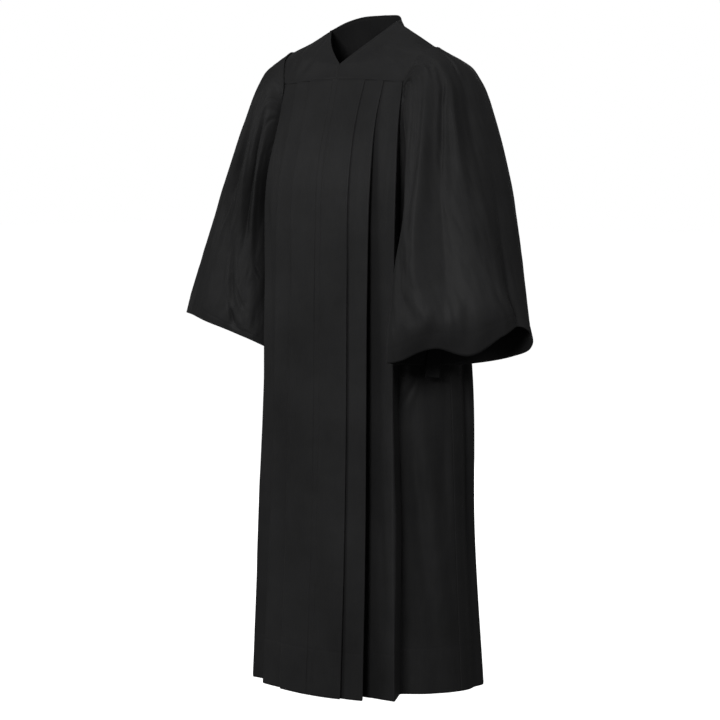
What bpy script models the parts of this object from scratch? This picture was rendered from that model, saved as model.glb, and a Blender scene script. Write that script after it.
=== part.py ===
"""Judge's robe, filled out and open below: sewn cloth pieces as thin walls.

The origin lies between the shoulders at the side neck points. +Z is up, the front faces -Y and
the wearer's left is +X. Sizes are metres. A "drop" is a distance below the neck points.
"""

import bpy
import numpy as np

CLOTH = 0.002
HALF_CLOTH = CLOTH / 2
SEAM_GAP = 0.0003
UNDERARM_GAP = 0.0008
LENGTH = 1.31
FLY_HALF_WIDTH = 0.007
SEAM_HALF_WIDTH = 0.156
SEAM_CENTRE = (-0.0900, 0.103)
SEAM_END = (-0.0660, 0.111)
NECK_V = (0.0, -0.078, -0.075)
# The neck points beside the wearer's neck, left (1) and right (-1), in wearer's left terms. The
# robe lies a little lower on the right shoulder.
NECK_SIDES = {1: (0.082, 0.0, 0.009), -1: (0.083, -0.005, -0.004)}
NECK_BACK = ((0.068, 0.025, 0.013), (0.050, 0.045, 0.022), (0.0, 0.061, 0.026))
UNDERARM_DROP = 0.33
RIGHT_PLEAT_SPREAD = 0.005
HEM_DIP = 0.005
BACK_SEAM_DROP = 0.120
BACK_FLUTES = 7
BACK_FLUTE_DEPTH = 0.012
SKIRT_DROPS = (UNDERARM_DROP, 0.40, 0.50, 0.62, 0.75, 0.88, 1.01, 1.14, 1.24, LENGTH)
PANEL_DROPS = (0.15, 0.20, 0.25, 0.29) + SKIRT_DROPS
BACK_DROPS = (0.17, 0.22, 0.26, 0.30) + SKIRT_DROPS
YOKE_TURNS = (0, 9, 18, 27, 36, 45, 52)
ROBE_BLACK = (0.014, 0.014, 0.015, 1.0)

# How far the centre front stands before the shoulder line, and where the side seam and the
# front side part of the skirt lie.
FRONT = {
    "drop": (0.103, 0.15, 0.20, 0.25, 0.30, 0.40, 0.50, 0.70, 1.00, LENGTH),
    "centre": (-0.090, -0.102, -0.117, -0.131, -0.139, -0.144, -0.1465, -0.149, -0.157, -0.174),
}
SIDE = {
    "drop": (UNDERARM_DROP, 0.40, 0.50, 0.70, 1.00, LENGTH),
    "seam_x": (0.188, 0.189, 0.192, 0.201, 0.209, 0.222),
    "seam_y": (0.000, 0.006, 0.012, 0.020, 0.026, 0.030),
    "fore_x": (0.172, 0.170, 0.170, 0.174, 0.181, 0.190),
    "fore_y": (-0.040, -0.035, -0.030, -0.027, -0.029, -0.032),
}
BACK = {
    "drop": (BACK_SEAM_DROP, 0.20, UNDERARM_DROP, 0.50, 0.70, 1.00, LENGTH),
    "corner_x": (0.125, 0.130, 0.165, 0.190, 0.205, 0.209, 0.226),
    "corner_y": (0.087, 0.105, 0.095, 0.080, 0.082, 0.083, 0.092),
    "centre": (0.095, 0.113, 0.125, 0.133, 0.146, 0.160, 0.176),
}

# The knife pleats, from the centre outwards: where the fold stands, how far the cloth steps
# back behind it and how far it tucks in under it.
PLEATS = (
    {
        "drop": (0.103, 0.20, 0.30, 0.50, 0.70, 1.00, LENGTH),
        "x": (0.070, 0.0675, 0.0715, 0.073, 0.074, 0.076, 0.079),
        "y": (-0.0852, -0.1145, -0.1365, -0.1440, -0.1465, -0.155, -0.1715),
        "step": (0.0020, 0.0025, 0.0035, 0.0045, 0.0055, 0.006, 0.008),
        "tuck": (0.0, 0.0010, 0.0020, 0.0030, 0.0040, 0.005, 0.007),
    },
    {
        "drop": (0.103, 0.20, 0.30, 0.50, 0.70, 1.00, LENGTH),
        "x": (0.111, 0.110, 0.117, 0.1185, 0.120, 0.125, 0.131),
        "y": (-0.0779, -0.105, -0.1265, -0.1365, -0.141, -0.150, -0.1655),
        "step": (0.0020, 0.006, 0.015, 0.028, 0.036, 0.041, 0.045),
        "tuck": (0.0, 0.003, 0.011, 0.024, 0.031, 0.038, 0.043),
    },
    {
        "drop": (0.103, 0.20, 0.30, 0.50, 0.70, 1.00, LENGTH),
        "x": (0.150, 0.155, 0.165, 0.165, 0.165, 0.174, 0.183),
        "y": (-0.0678, -0.088, -0.106, -0.112, -0.115, -0.122, -0.130),
        "step": (0.0020, 0.010, 0.030, 0.044, 0.050, 0.056, 0.060),
        "tuck": (0.0, 0.003, 0.015, 0.024, 0.027, 0.031, 0.035),
    },
)

# The left armhole, from the shoulder point forwards and round: place, then the way the cloth faces.
ARMHOLE = {
    "turn": (0, 15, 28, 41, 52, 80, 105, 135, 180, 225, 255, 283, 308, 333, 360),
    "x": (0.184, 0.181, 0.175, 0.166, 0.156, 0.159, 0.162, 0.168, 0.188, 0.180, 0.167, 0.162, 0.162,
          0.176, 0.184),
    "y": (0.000, -0.019, -0.040, -0.055, -0.066, -0.067, -0.064, -0.055, 0.0, 0.056, 0.076, 0.082,
          0.078, 0.044, 0.0),
    "z": (-0.048, -0.050, -0.062, -0.084, -0.111, -0.155, -0.200, -0.260, -0.330, -0.270, -0.205,
          -0.160, -0.122, -0.066, -0.048),
    "face_x": (0.35, 0.34, 0.32, 0.28, 0.25, 0.60, 0.78, 0.85, 1.0, 0.8, 0.6, 0.5, 0.4, 0.35, 0.35),
    "face_y": (0.0, -0.25, -0.50, -0.80, -0.93, -0.78, -0.62, -0.50, 0.0, 0.6, 0.8, 0.85, 0.88,
               0.50, 0.0),
    "face_z": (0.94, 0.90, 0.78, 0.53, 0.27, 0.08, 0.0, 0.0, 0.0, 0.0, 0.0, 0.1, 0.25, 0.79, 0.94),
}
FRONT_SEAM_TURN = 52.0
UNDERARM_TURN = 180.0
BACK_SEAM_TURN = 308.0

# Each sleeve as rings, in wearer's left terms. A ring passes through its outer, front, inner and
# back points. The left arm is held a little further forward than the right one.
SLEEVE_RINGS = {
    "left": {
        "along": (0.0, 0.10, 0.22, 0.36, 0.55, 0.78, 0.93, 1.0),
        "outer": ((0.184, 0.0, -0.048), (0.221, 0.004, -0.065), (0.259, 0.006, -0.103),
                  (0.286, 0.010, -0.175), (0.327, 0.014, -0.300), (0.368, 0.020, -0.460),
                  (0.388, 0.024, -0.570), (0.395, 0.027, -0.610)),
        "front": ((0.160, -0.066, -0.17), (0.176, -0.095, -0.148), (0.203, -0.116, -0.190),
                  (0.226, -0.135, -0.265), (0.255, -0.154, -0.370), (0.298, -0.153, -0.490),
                  (0.328, -0.145, -0.575), (0.322, -0.126, -0.620)),
        "inner": ((0.188, 0.0, -0.33), (0.203, -0.006, -0.352), (0.206, -0.020, -0.390),
                  (0.198, -0.050, -0.440), (0.188, -0.095, -0.500), (0.184, -0.135, -0.575),
                  (0.182, -0.153, -0.620), (0.186, -0.157, -0.645)),
        "back": ((0.165, 0.080, -0.19), (0.178, 0.096, -0.165), (0.202, 0.099, -0.205),
                 (0.226, 0.092, -0.270), (0.246, 0.076, -0.380), (0.250, 0.042, -0.520),
                 (0.243, 0.010, -0.610), (0.241, 0.002, -0.655)),
    },
    "right": {
        "along": (0.0, 0.10, 0.22, 0.36, 0.55, 0.78, 0.93, 1.0),
        "outer": ((0.184, 0.0, -0.048), (0.214, -0.004, -0.068), (0.238, -0.010, -0.108),
                  (0.272, -0.016, -0.180), (0.320, -0.020, -0.300), (0.382, -0.018, -0.450),
                  (0.423, -0.014, -0.545), (0.443, -0.012, -0.585)),
        "front": ((0.160, -0.066, -0.17), (0.174, -0.090, -0.150), (0.196, -0.104, -0.190),
                  (0.222, -0.113, -0.265), (0.258, -0.120, -0.370), (0.300, -0.126, -0.490),
                  (0.328, -0.127, -0.575), (0.336, -0.124, -0.612)),
        "inner": ((0.188, 0.0, -0.33), (0.203, -0.004, -0.352), (0.205, -0.012, -0.390),
                  (0.197, -0.030, -0.440), (0.194, -0.050, -0.505), (0.192, -0.068, -0.580),
                  (0.191, -0.078, -0.625), (0.192, -0.080, -0.645)),
        "back": ((0.165, 0.080, -0.19), (0.180, 0.094, -0.165), (0.206, 0.098, -0.205),
                 (0.234, 0.094, -0.270), (0.262, 0.084, -0.380), (0.282, 0.065, -0.520),
                 (0.288, 0.045, -0.605), (0.290, 0.040, -0.645)),
    },
}

# How far the hem of a sleeve is lifted above its ring, by turn.
HEM_LIFT = {
    "left": {
        "turn": (0, 25, 50, 75, 105, 140, 180, 225, 270, 315, 340, 360),
        "lift": (0.004, 0.030, 0.014, -0.014, 0.008, -0.008, -0.004, 0.0, -0.004, -0.009, -0.008, 0.004),
    },
    "right": {
        "turn": (0, 30, 50, 75, 100, 120, 150, 180, 225, 270, 315, 360),
        "lift": (-0.004, 0.004, 0.012, 0.023, 0.025, 0.024, 0.015, 0.003, 0.0, 0.004, 0.0, -0.004),
    },
}

# Troughs that run down a sleeve from its gathered head: turn at the head and at the hem, half
# width, where along the sleeve it starts, is deepest and ends, and how deep it is there.
SLEEVE_FOLDS = {
    "left": {
        "head": (5, 340, 44, 30, 50, 112, 170, 212, 245, 278, 308),
        "hem": (38, 387, 48, 97, 150, 132, 172, 215, 250, 280, 305),
        "width": (12, 12, 10, 16, 8, 10, 12, 12, 12, 12, 12),
        "start": (0.02, 0.15, 0.05, 0.03, 0.0, 0.05, 0.05, 0.05, 0.0, 0.0, 0.0),
        "deepest": (0.34, 0.85, 0.45, 0.66, 0.25, 0.50, 0.40, 0.45, 0.40, 0.50, 0.35),
        "end": (0.66, 1.25, 0.80, 1.15, 0.55, 0.95, 0.85, 0.95, 1.1, 1.0, 0.9),
        "depth": (0.010, 0.012, 0.004, 0.014, 0.006, 0.007, 0.010, 0.012, 0.012, 0.014, 0.012),
    },
    "right": {
        "head": (22, 50, 75, 80, 132, 180, 214, 246, 278, 310, 338),
        "hem": (28, 55, 86, 158, 150, 180, 216, 250, 282, 308, 340),
        "width": (9, 9, 10, 10, 9, 12, 12, 12, 12, 12, 10),
        "start": (0.0, 0.0, 0.0, 0.0, 0.05, 0.05, 0.0, 0.0, 0.0, 0.0, 0.0),
        "deepest": (0.30, 0.20, 0.40, 0.36, 0.40, 0.40, 0.45, 0.40, 0.50, 0.40, 0.45),
        "end": (0.70, 0.50, 0.80, 0.72, 0.75, 0.85, 1.0, 1.1, 0.95, 0.95, 1.0),
        "depth": (0.006, 0.007, 0.012, 0.012, 0.006, 0.010, 0.012, 0.012, 0.014, 0.012, 0.010),
    },
}
TAB_TURNS = (239, 243, 247.5, 252)
TAB_GAP = 0.0016
TAB_HANG = 0.023
SLEEVE_LIFT = 0.0014
SLEEVE_STEPS = (0.0, 0.05, 0.10, 0.16, 0.23, 0.31, 0.41, 0.52, 0.64, 0.76, 0.87, 0.95, 1.0)
SLEEVE_COLUMNS = 40


def smooth(keys, values, where):
    """The value at `where` on a smooth line through the values at the rising keys."""
    keys = np.asarray(keys, float)
    values = np.asarray(values, float)
    slopes = np.gradient(values, keys, axis=0)
    start = int(np.clip(np.searchsorted(keys, where) - 1, 0, len(keys) - 2))
    width = keys[start + 1] - keys[start]
    t = (where - keys[start]) / width
    rise = t * t * (3 - 2 * t)
    leave = t * (1 - t) ** 2 * width
    arrive = -t * t * (1 - t) * width
    return (
        values[start] * (1 - rise)
        + values[start + 1] * rise
        + slopes[start] * leave
        + slopes[start + 1] * arrive
    )


def read(table, where, key="drop"):
    """Every other column of the table at this key."""
    return {name: smooth(table[key], table[name], where) for name in table if name != key}


def armhole(turn):
    """(place, facing) on the left armhole at this turn in degrees."""
    row = read(ARMHOLE, turn, "turn")
    facing = np.array([row["face_x"], row["face_y"], row["face_z"]])
    return np.array([row["x"], row["y"], row["z"]]), facing / np.linalg.norm(facing)


def armhole_at_drop(drop, low, high):
    """The armhole's plan place at this drop, between two turns where it only rises or falls."""
    turns = np.linspace(low, high, 60)
    places = np.array([armhole(turn)[0] for turn in turns])
    order = np.argsort(-places[:, 2])
    return np.array([np.interp(drop, -places[order, 2], places[order, axis]) for axis in (0, 1)])


def between(start, end, count):
    """Plan points from start to end, without the end."""
    return [start + (end - start) * step / count for step in range(count)]


def curve_through(points, count, first=0, last=-1, gaps=(0, 0)):
    """A smooth line through the points. Its `count` steps run between two of the points, less the gaps."""
    points = np.array(points)
    keys = np.concatenate([[0], np.cumsum(np.linalg.norm(np.diff(points, axis=0), axis=1))])
    span = np.linspace(keys[first] + gaps[0], keys[last] - gaps[1], count + 1)
    return [smooth(keys, points, where) for where in span]


def fold_places(drop, side=1):
    """(where each knife fold stands, where the cloth behind it starts) at this drop."""
    rows = [read(pleat, drop) for pleat in PLEATS]
    if side < 0:
        rows[2]["x"] += RIGHT_PLEAT_SPREAD * np.clip((drop - 0.30) / 0.7, 0, 1)
    folds = [np.array([row["x"], row["y"]]) for row in rows]
    return folds, [fold + (-row["tuck"], row["step"]) for fold, row in zip(folds, rows)]


def round_line(drop, side=1):
    """Plan points from behind the last pleat of a side round the back to the other one."""
    behind = fold_places(drop, side)[1][-1]
    side = read(SIDE, max(drop, UNDERARM_DROP))
    seam = np.array([side["seam_x"], side["seam_y"]])
    fore = np.array([side["fore_x"], side["fore_y"]])
    back = read(BACK, drop)
    corner = np.array([back["corner_x"], back["corner_y"]])
    quarter = np.array([back["corner_x"] * 0.60, back["centre"] * 0.95])
    half = [behind, fore, seam, corner, quarter]
    return half + [np.array([0.0, back["centre"]])] + [point * (-1, 1) for point in reversed(half)]


def side_gap(drop):
    """Half the gap at the side seam, wider just under the arm, where three pieces meet."""
    return SEAM_GAP / 2 + UNDERARM_GAP * np.clip((0.50 - drop) / 0.15, 0, 1)


def front_section(drop, side):
    """Plan points of a front panel from the fly to the side seam, in wearer's left terms."""
    centre = read(FRONT, drop)["centre"]
    folds, behind = fold_places(drop, side)
    points = []
    for share in (0.0, 0.34, 0.68):
        x = FLY_HALF_WIDTH + SEAM_GAP + share * (folds[0][0] - FLY_HALF_WIDTH)
        points.append(np.array([x, centre + (folds[0][1] - centre) * (x / folds[0][0]) ** 2]))
    for number in (0, 1):
        points.append(folds[number])
        points += between(behind[number], folds[number + 1], 3)
    points.append(folds[2])
    if drop < UNDERARM_DROP:
        end = armhole_at_drop(drop, FRONT_SEAM_TURN, UNDERARM_TURN)
        return points + between(behind[2], end, 6) + [end]
    return points + curve_through(round_line(drop, side), 6, 0, 2, (0, side_gap(drop)))


def hem_dip(x, drop):
    """How much lower the front hangs towards the middle of its hem."""
    return HEM_DIP * np.clip(1 - (x / 0.13) ** 2, 0, 1) * np.clip((drop - 1.0) / 0.31, 0, 1)


def front_panel(side):
    """Rows of points from the yoke seam down to the hem."""
    top = []
    for number, place in enumerate(front_section(SEAM_END[1], side)):
        height = seam_point(place[0])[2]
        place = front_section(-height, side)[number]
        top.append((place[0] * side, place[1], height - SEAM_GAP))
    rows = [top]
    for drop in PANEL_DROPS:
        rows.append([(x * side, y, -drop - hem_dip(x, drop)) for x, y in front_section(drop, side)])
    return rows


def back_section(drop):
    """Plan points of the back panel from the left side seam round to the right one."""
    points = round_line(drop)
    gaps = (side_gap(drop), side_gap(drop))
    if drop < UNDERARM_DROP:
        end = armhole_at_drop(drop, UNDERARM_TURN, BACK_SEAM_TURN)
        points = [end] + points[3:8] + [end * (-1, 1)]
        line = np.array(curve_through(points, BACK_FLUTES * 4))
    else:
        line = np.array(curve_through(points, BACK_FLUTES * 4, 2, 8, gaps))
    depth = BACK_FLUTE_DEPTH * np.clip((drop - BACK_SEAM_DROP) / 0.5, 0, 1)
    along = np.gradient(line, axis=0)
    outward = np.stack([along[:, 1], -along[:, 0]], 1)
    outward /= np.linalg.norm(outward, axis=1)[:, None]
    share = np.linspace(0, 1, len(line))
    wave = (1 - np.cos(2 * np.pi * BACK_FLUTES * share)) / 2 * np.clip(np.sin(np.pi * share) * 3, 0, 1)
    return line - outward * (wave * depth)[:, None]


def back_panel():
    """Rows of points from the back yoke seam down to the hem."""
    top = BACK_SEAM_DROP + 0.002
    rows = []
    for x, y in back_section(top):
        height = -BACK_SEAM_DROP - 0.002 * min(abs(x) / 0.162, 1)
        rows.append((x, y, height - SEAM_GAP))
    return [rows] + [[(x, y, -drop) for x, y in back_section(drop)] for drop in BACK_DROPS]


def neck_edge(share, side):
    """A front neck edge, from the side neck point (0) down to the V (1)."""
    start = np.array(NECK_SIDES[side])
    bow = np.array([0.005, -0.006, 0.0]) * np.sin(np.pi * share)
    return start + (np.array(NECK_V) - start) * share + bow


def seam_point(x):
    """A point of the yoke seam across the chest."""
    share = min(x / SEAM_HALF_WIDTH, 1) ** 2
    y = SEAM_CENTRE[0] + (SEAM_END[0] - SEAM_CENTRE[0]) * share
    drop = SEAM_CENTRE[1] + (SEAM_END[1] - SEAM_CENTRE[1]) * share
    return np.array([x, y, -drop])


def front_yoke(side):
    """Rows from the neck edge and centre seam out to the armhole; columns from shoulder to seam."""
    v_share = YOKE_TURNS[4] / FRONT_SEAM_TURN
    rows = []
    for across in np.linspace(0, 1, 9):
        row = []
        for turn in YOKE_TURNS:
            share = turn / FRONT_SEAM_TURN
            reach = max(share - v_share, 0) / (1 - v_share)
            if reach == 0:
                inner = neck_edge(share / v_share, side)
            else:
                inner = np.array(NECK_V) + (seam_point(0) - np.array(NECK_V)) * reach
            outer = armhole(turn)[0]
            bulge = 4 * across * (1 - across) * np.sin(np.pi * share)
            point = inner + (outer - inner) * across + np.array([0.0, -0.010, 0.006]) * bulge
            point += (seam_point(outer[0] * across) - point) * reach ** 2
            point[0] = max(point[0], SEAM_GAP / 2)
            point[1] -= SEAM_GAP / 2 * (turn == 0)
            row.append(point * (side, 1, 1))
        rows.append(row)
    return rows


def back_yoke_half(side, turn):
    """Points from the armhole or shoulder to the centre back, in wearer's left terms."""
    gap = np.array([0.0, SEAM_GAP / 2, 0.0])
    tip = armhole(0)[0] + gap
    start = np.array(NECK_SIDES[side]) + gap
    tops = between(tip, start, 5) + curve_through((start,) + NECK_BACK, 6)
    down = turn / FRONT_SEAM_TURN
    half = []
    for number, top in enumerate(tops):
        across = number / (len(tops) - 1)
        bottom = np.array([0.162 * (1 - across), 0.095 - 0.017 * (1 - across) ** 2, 0.0])
        bottom[2] = -BACK_SEAM_DROP - 0.002 * (1 - across)
        control = top + (bottom - top) * (0.5, 0.72, 0.30)
        control[0] = (top[0] + bottom[0]) / 2 + 0.004
        half.append(top * (1 - down) ** 2 + control * 2 * down * (1 - down) + bottom * down ** 2)
    half[0] = armhole((360 - turn) % 360)[0] + gap * (1 - down)
    return half


def back_yoke():
    """Rows from the shoulder lines and neck down to the back seam; columns from left to right."""
    rows = []
    for turn in YOKE_TURNS:
        left, right = (back_yoke_half(side, turn) for side in (1, -1))
        rows.append(left + [point * (-1, 1, 1) for point in reversed(right[:-1])])
    return rows


def fold_depth(folds, turn, along):
    """How far the sleeve's cloth lies in at this place because of its folds."""
    depth = 0.0
    for number in range(len(folds["head"])):
        row = {key: folds[key][number] for key in folds}
        if along <= row["deepest"]:
            strength = (along - row["start"]) / (row["deepest"] - row["start"])
        else:
            strength = (row["end"] - along) / (row["end"] - row["deepest"])
        strength = np.clip(strength, 0, 1)
        middle = row["head"] + (row["hem"] - row["head"]) * along
        away = (turn - middle + 180) % 360 - 180
        depth += row["depth"] * strength ** 0.7 * np.exp(-((away / row["width"]) ** 2))
    return depth


def sleeve_point(name, turn, along):
    """A point of the sleeve's cloth, in wearer's left terms."""
    table = SLEEVE_RINGS[name]
    ring = {key: smooth(table["along"], table[key], along) for key in ("outer", "front", "inner", "back")}
    centre = (ring["outer"] + ring["front"] + ring["inner"] + ring["back"]) / 4
    lengthways = (ring["outer"] - ring["inner"]) / 2
    crossways = (ring["front"] - ring["back"]) / 2
    skew = (ring["outer"] - ring["front"] + ring["inner"] - ring["back"]) / 4
    angle = np.radians(turn)
    spoke = lengthways * np.cos(angle) + crossways * np.sin(angle)
    loft = centre + spoke + skew * np.cos(2 * angle)
    loft -= unit(spoke) * fold_depth(SLEEVE_FOLDS[name], turn % 360, along)
    near_hem = np.clip((along - 0.75) / 0.25, 0, 1) ** 2
    loft[2] += smooth(HEM_LIFT[name]["turn"], HEM_LIFT[name]["lift"], turn % 360) * near_hem
    edge, facing = armhole(turn % 360)
    edge = edge + facing * (CLOTH + SLEEVE_LIFT)
    share = np.clip(along / 0.16, 0, 1)
    return edge + (loft - edge) * share * share * (3 - 2 * share)


def sleeve(name, side):
    """Closed rings from the armhole to the hem."""
    turns = [360 * column / SLEEVE_COLUMNS for column in range(SLEEVE_COLUMNS)]
    mirror = np.array([side, 1, 1])
    return [[sleeve_point(name, turn, along) * mirror for turn in turns] for along in SLEEVE_STEPS]


def sleeve_tab():
    """A small tab on the inside of the left sleeve's hem, which hangs below it."""
    rows = []
    for along in (0.94, 0.97, 1.0):
        rows.append([sleeve_point("left", turn, along) for turn in TAB_TURNS])
    rows = np.array(rows)
    middle = np.array([0.29, -0.065, 0.0])
    inward = unit((middle - rows) * np.array([1, 1, 0]))
    rows = rows + inward * (CLOTH + TAB_GAP)
    lower = [rows[-1] + np.array([0.0, 0.0, -TAB_HANG * share]) for share in (0.33, 0.67, 1.0)]
    return np.concatenate([rows, lower])


def wall(name, rows, ring=False, turned=False, cuts=()):
    """One closed cloth wall round a grid of middle points, as thick as the cloth.

    A cut is (row, column, axis): there the wall ends in a face that is square to that axis.
    """
    grid = np.array(rows, float)
    if turned:
        grid = grid[:, ::-1]
    if ring:
        ahead, behind = np.roll(grid, -1, axis=1), np.roll(grid, 1, axis=1)
        across = ahead - behind
        before, after = grid - behind, ahead - grid
    else:
        padded = np.concatenate([2 * grid[:, :1] - grid[:, 1:2], grid, 2 * grid[:, -1:] - grid[:, -2:-1]], 1)
        before, after = padded[:, 1:-1] - padded[:, :-2], padded[:, 2:] - padded[:, 1:-1]
    down = np.gradient(grid, axis=0)
    first, second = unit(np.cross(down, before)), unit(np.cross(down, after))
    normal = unit(first + second)
    stretch = 1 / np.clip((normal * second).sum(-1, keepdims=True), 0.38, 1)
    offset = normal * stretch * HALF_CLOTH
    for row, column, axis in cuts:
        offset[row, column, axis] = 0
    outer, inner = grid + offset, grid - offset
    high, wide = grid.shape[:2]
    points = np.concatenate([outer.reshape(-1, 3), inner.reshape(-1, 3)])
    layer = high * wide
    faces = []
    columns = wide if ring else wide - 1
    for row in range(high - 1):
        for column in range(columns):
            a, b = row * wide + column, row * wide + (column + 1) % wide
            c, d = b + wide, a + wide
            faces += [(a, d, c, b), (a + layer, b + layer, c + layer, d + layer)]
    last = (high - 1) * wide
    for column in range(columns):
        a, b = column, (column + 1) % wide
        faces += [(a, b, b + layer, a + layer), (a + last, a + last + layer, b + last + layer, b + last)]
    if not ring:
        for row in range(high - 1):
            a, d = row * wide, (row + 1) * wide
            b, c = a + wide - 1, d + wide - 1
            faces += [(a, a + layer, d + layer, d), (b, c, c + layer, b + layer)]
    mesh = bpy.data.meshes.new(name)
    mesh.from_pydata([tuple(point) for point in points], [], faces)
    piece = bpy.data.objects.new(name, mesh)
    bpy.context.scene.collection.objects.link(piece)
    material = bpy.data.materials.new(name + "_cloth")
    material.use_nodes = True
    shader = material.node_tree.nodes["Principled BSDF"]
    shader.inputs["Base Color"].default_value = ROBE_BLACK
    shader.inputs["Roughness"].default_value = 0.6
    mesh.materials.append(material)
    return piece


def unit(vectors):
    length = np.linalg.norm(vectors, axis=-1, keepdims=True)
    return vectors / np.maximum(length, 1e-12)


def fly_rows():
    rows = []
    for drop in (SEAM_CENTRE[1] + SEAM_GAP,) + PANEL_DROPS:
        centre = read(FRONT, drop)["centre"]
        first = read(PLEATS[0], drop)
        row = []
        for x in np.linspace(-FLY_HALF_WIDTH, FLY_HALF_WIDTH, 5):
            y = centre + (first["y"] - centre) * (x / first["x"]) ** 2
            row.append((x, y, -drop - hem_dip(x, drop)))
        rows.append(row)
    return rows


def centre_seam(side):
    """The columns of a front yoke that lie in the short seam under the V."""
    return slice(0, 3) if side > 0 else slice(-3, None)


def main():
    every = slice(None)
    for old in list(bpy.data.objects):
        bpy.data.objects.remove(old, do_unlink=True)
    for name, side in (("left", 1), ("right", -1)):
        shoulder, seam = (-1, 0) if side > 0 else (0, -1)
        yoke_cuts = ((every, shoulder, 1), (every, seam, 2), (0, centre_seam(side), 0))
        wall("front_yoke_" + name, front_yoke(side), turned=side > 0, cuts=yoke_cuts)
        wall("front_panel_" + name, front_panel(side), turned=side < 0, cuts=((0, every, 2),))
        wall("sleeve_" + name, sleeve(name, side), ring=True, turned=side > 0)
    ends = ((0, slice(0, 6), 1), (0, slice(-6, None), 1), (-1, every, 2))
    wall("back_yoke", back_yoke(), cuts=ends)
    wall("back_panel", back_panel(), cuts=((0, every, 2),))
    wall("front_fly", fly_rows(), cuts=((0, every, 2),))
    wall("sleeve_tab_left", sleeve_tab(), turned=True)


main()
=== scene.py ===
"""Judge's robe: fine cloth over the robe's pattern pieces, with a plain studio round it."""

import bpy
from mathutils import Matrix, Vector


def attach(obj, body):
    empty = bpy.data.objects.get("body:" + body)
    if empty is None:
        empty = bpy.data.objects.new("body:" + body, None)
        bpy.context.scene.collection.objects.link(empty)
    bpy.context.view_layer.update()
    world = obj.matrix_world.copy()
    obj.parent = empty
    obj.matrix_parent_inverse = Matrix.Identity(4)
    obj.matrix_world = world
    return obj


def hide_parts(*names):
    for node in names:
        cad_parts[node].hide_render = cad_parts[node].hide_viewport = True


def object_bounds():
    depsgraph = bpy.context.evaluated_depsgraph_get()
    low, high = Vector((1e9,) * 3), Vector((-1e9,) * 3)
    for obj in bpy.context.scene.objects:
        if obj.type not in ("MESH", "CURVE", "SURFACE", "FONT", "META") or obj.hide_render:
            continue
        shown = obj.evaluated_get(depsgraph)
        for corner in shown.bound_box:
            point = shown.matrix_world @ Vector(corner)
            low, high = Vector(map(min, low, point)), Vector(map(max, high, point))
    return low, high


bl_info = {
    "name": "Judge's Robe",
    "version": (1, 0, 0),
    "blender": (4, 5, 0),
    "location": "View3D > Sidebar > Robe",
    "description": "Lays pleated, gathered and fluted cloth on a judge's robe and lights it",
    "category": "Object",
}

import math

import bmesh
import bpy
import numpy as np
from mathutils import Vector, noise

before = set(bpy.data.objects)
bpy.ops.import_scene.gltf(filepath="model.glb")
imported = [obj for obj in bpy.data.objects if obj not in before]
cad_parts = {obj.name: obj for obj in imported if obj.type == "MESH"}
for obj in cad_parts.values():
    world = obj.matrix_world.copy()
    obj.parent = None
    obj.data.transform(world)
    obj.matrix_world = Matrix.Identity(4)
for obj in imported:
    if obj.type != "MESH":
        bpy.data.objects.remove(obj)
CAD_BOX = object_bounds()

# Sizes are in metres and turns in degrees. A drop is measured down from the side of the neck.
ROBE_LENGTH = 1.31
FLY_HALF_WIDTH = 0.007
SEAM_GAP = 0.0003
UNDERARM_GAP = 0.0008
UNDERARM_GAP_END = 0.50
UNDERARM_GAP_FADE = 0.15
UNDERARM_DROP = 0.33
UNDERARM_EASE_START = 0.22
HEM_DIP = 0.005
HEM_DIP_HALF_WIDTH = 0.13
HEM_DIP_START = 1.0

# The seam across the chest, as (y, drop), and the neck, in wearer's left terms.
SEAM_HALF_WIDTH = 0.156
SEAM_CENTRE = (-0.0900, 0.103)
SEAM_END = (-0.0660, 0.111)
SEAM_EASE = 0.047
NECK_V = (0.0, -0.078, -0.075)
NECK_SIDES = {"left": (0.082, 0.0, 0.009), "right": (0.083, -0.005, -0.004)}
NECK_BACK = ((0.068, 0.025, 0.013), (0.050, 0.045, 0.022), (0.0, 0.061, 0.026))
NECK_BOW = (0.005, -0.006, 0.0)
NECK_ROLL = 0.0012
NECK_ROLL_WIDTH = 0.0025

# Turns round an armhole, from the shoulder point forwards.
FRONT_SEAM_TURN = 52.0
UNDERARM_TURN = 180.0
BACK_SEAM_TURN = 308.0
V_SHARE = 36.0 / FRONT_SEAM_TURN

# A pressed fold's roll, its least step, and how the strip behind a pleat stands away from it.
FOLD_ROLL = 0.0016
SEWN_STEP = 0.002
FOLD_ROLL_STEP = 0.02
STRIP_RISE = (0.001, 0.008)
STRIP_RISE_START = 0.15
STRIP_RISE_RUN = 0.30
RIGHT_PLEAT_SPREAD = 0.005
RIGHT_SPREAD_START = 0.30
RIGHT_SPREAD_RUN = 0.70
FRONT_SWELLS = (0.0007, 0.0016)
FRONT_SWELL_STRETCH = (0.05, 1.0, 0.22)
FRONT_CREASE_START = 0.12
FRONT_CREASE_RUN = 0.05
SIDE_SEAM_RUN = 0.02

# The back panel: its seam, where its curve passes between corner and middle as shares of the
# two, its flutes, which wander sideways and differ in depth, the small gathers under the yoke and
# where the soft folds start.
BACK_SEAM_DROP = 0.120
BACK_SEAM_HALF_WIDTH = 0.162
BACK_SEAM_FALL = 0.002
BACK_SEAM_EASE = 0.05
BACK_BEND = (0.60, 0.95)
BACK_FLUTES = 7
BACK_FLUTE_DEPTH = 0.012
BACK_FLUTE_RUN = 0.5
FLUTE_WANDER = 0.006
FLUTE_WANDER_TURNS = (2.3, 0.6)
FLUTE_FLOOR = 0.05
FLUTE_ROUNDNESS = 0.8
FLUTE_SWING = 0.2
GATHERS_PER_FLUTE = 5
BACK_GATHER_DEPTH = 0.0025
BACK_GATHER_LENGTH = 0.05
BACK_GATHER_START = 0.012
BACK_FOLD_START = 0.13
BACK_FOLD_RUN = 0.06

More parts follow.
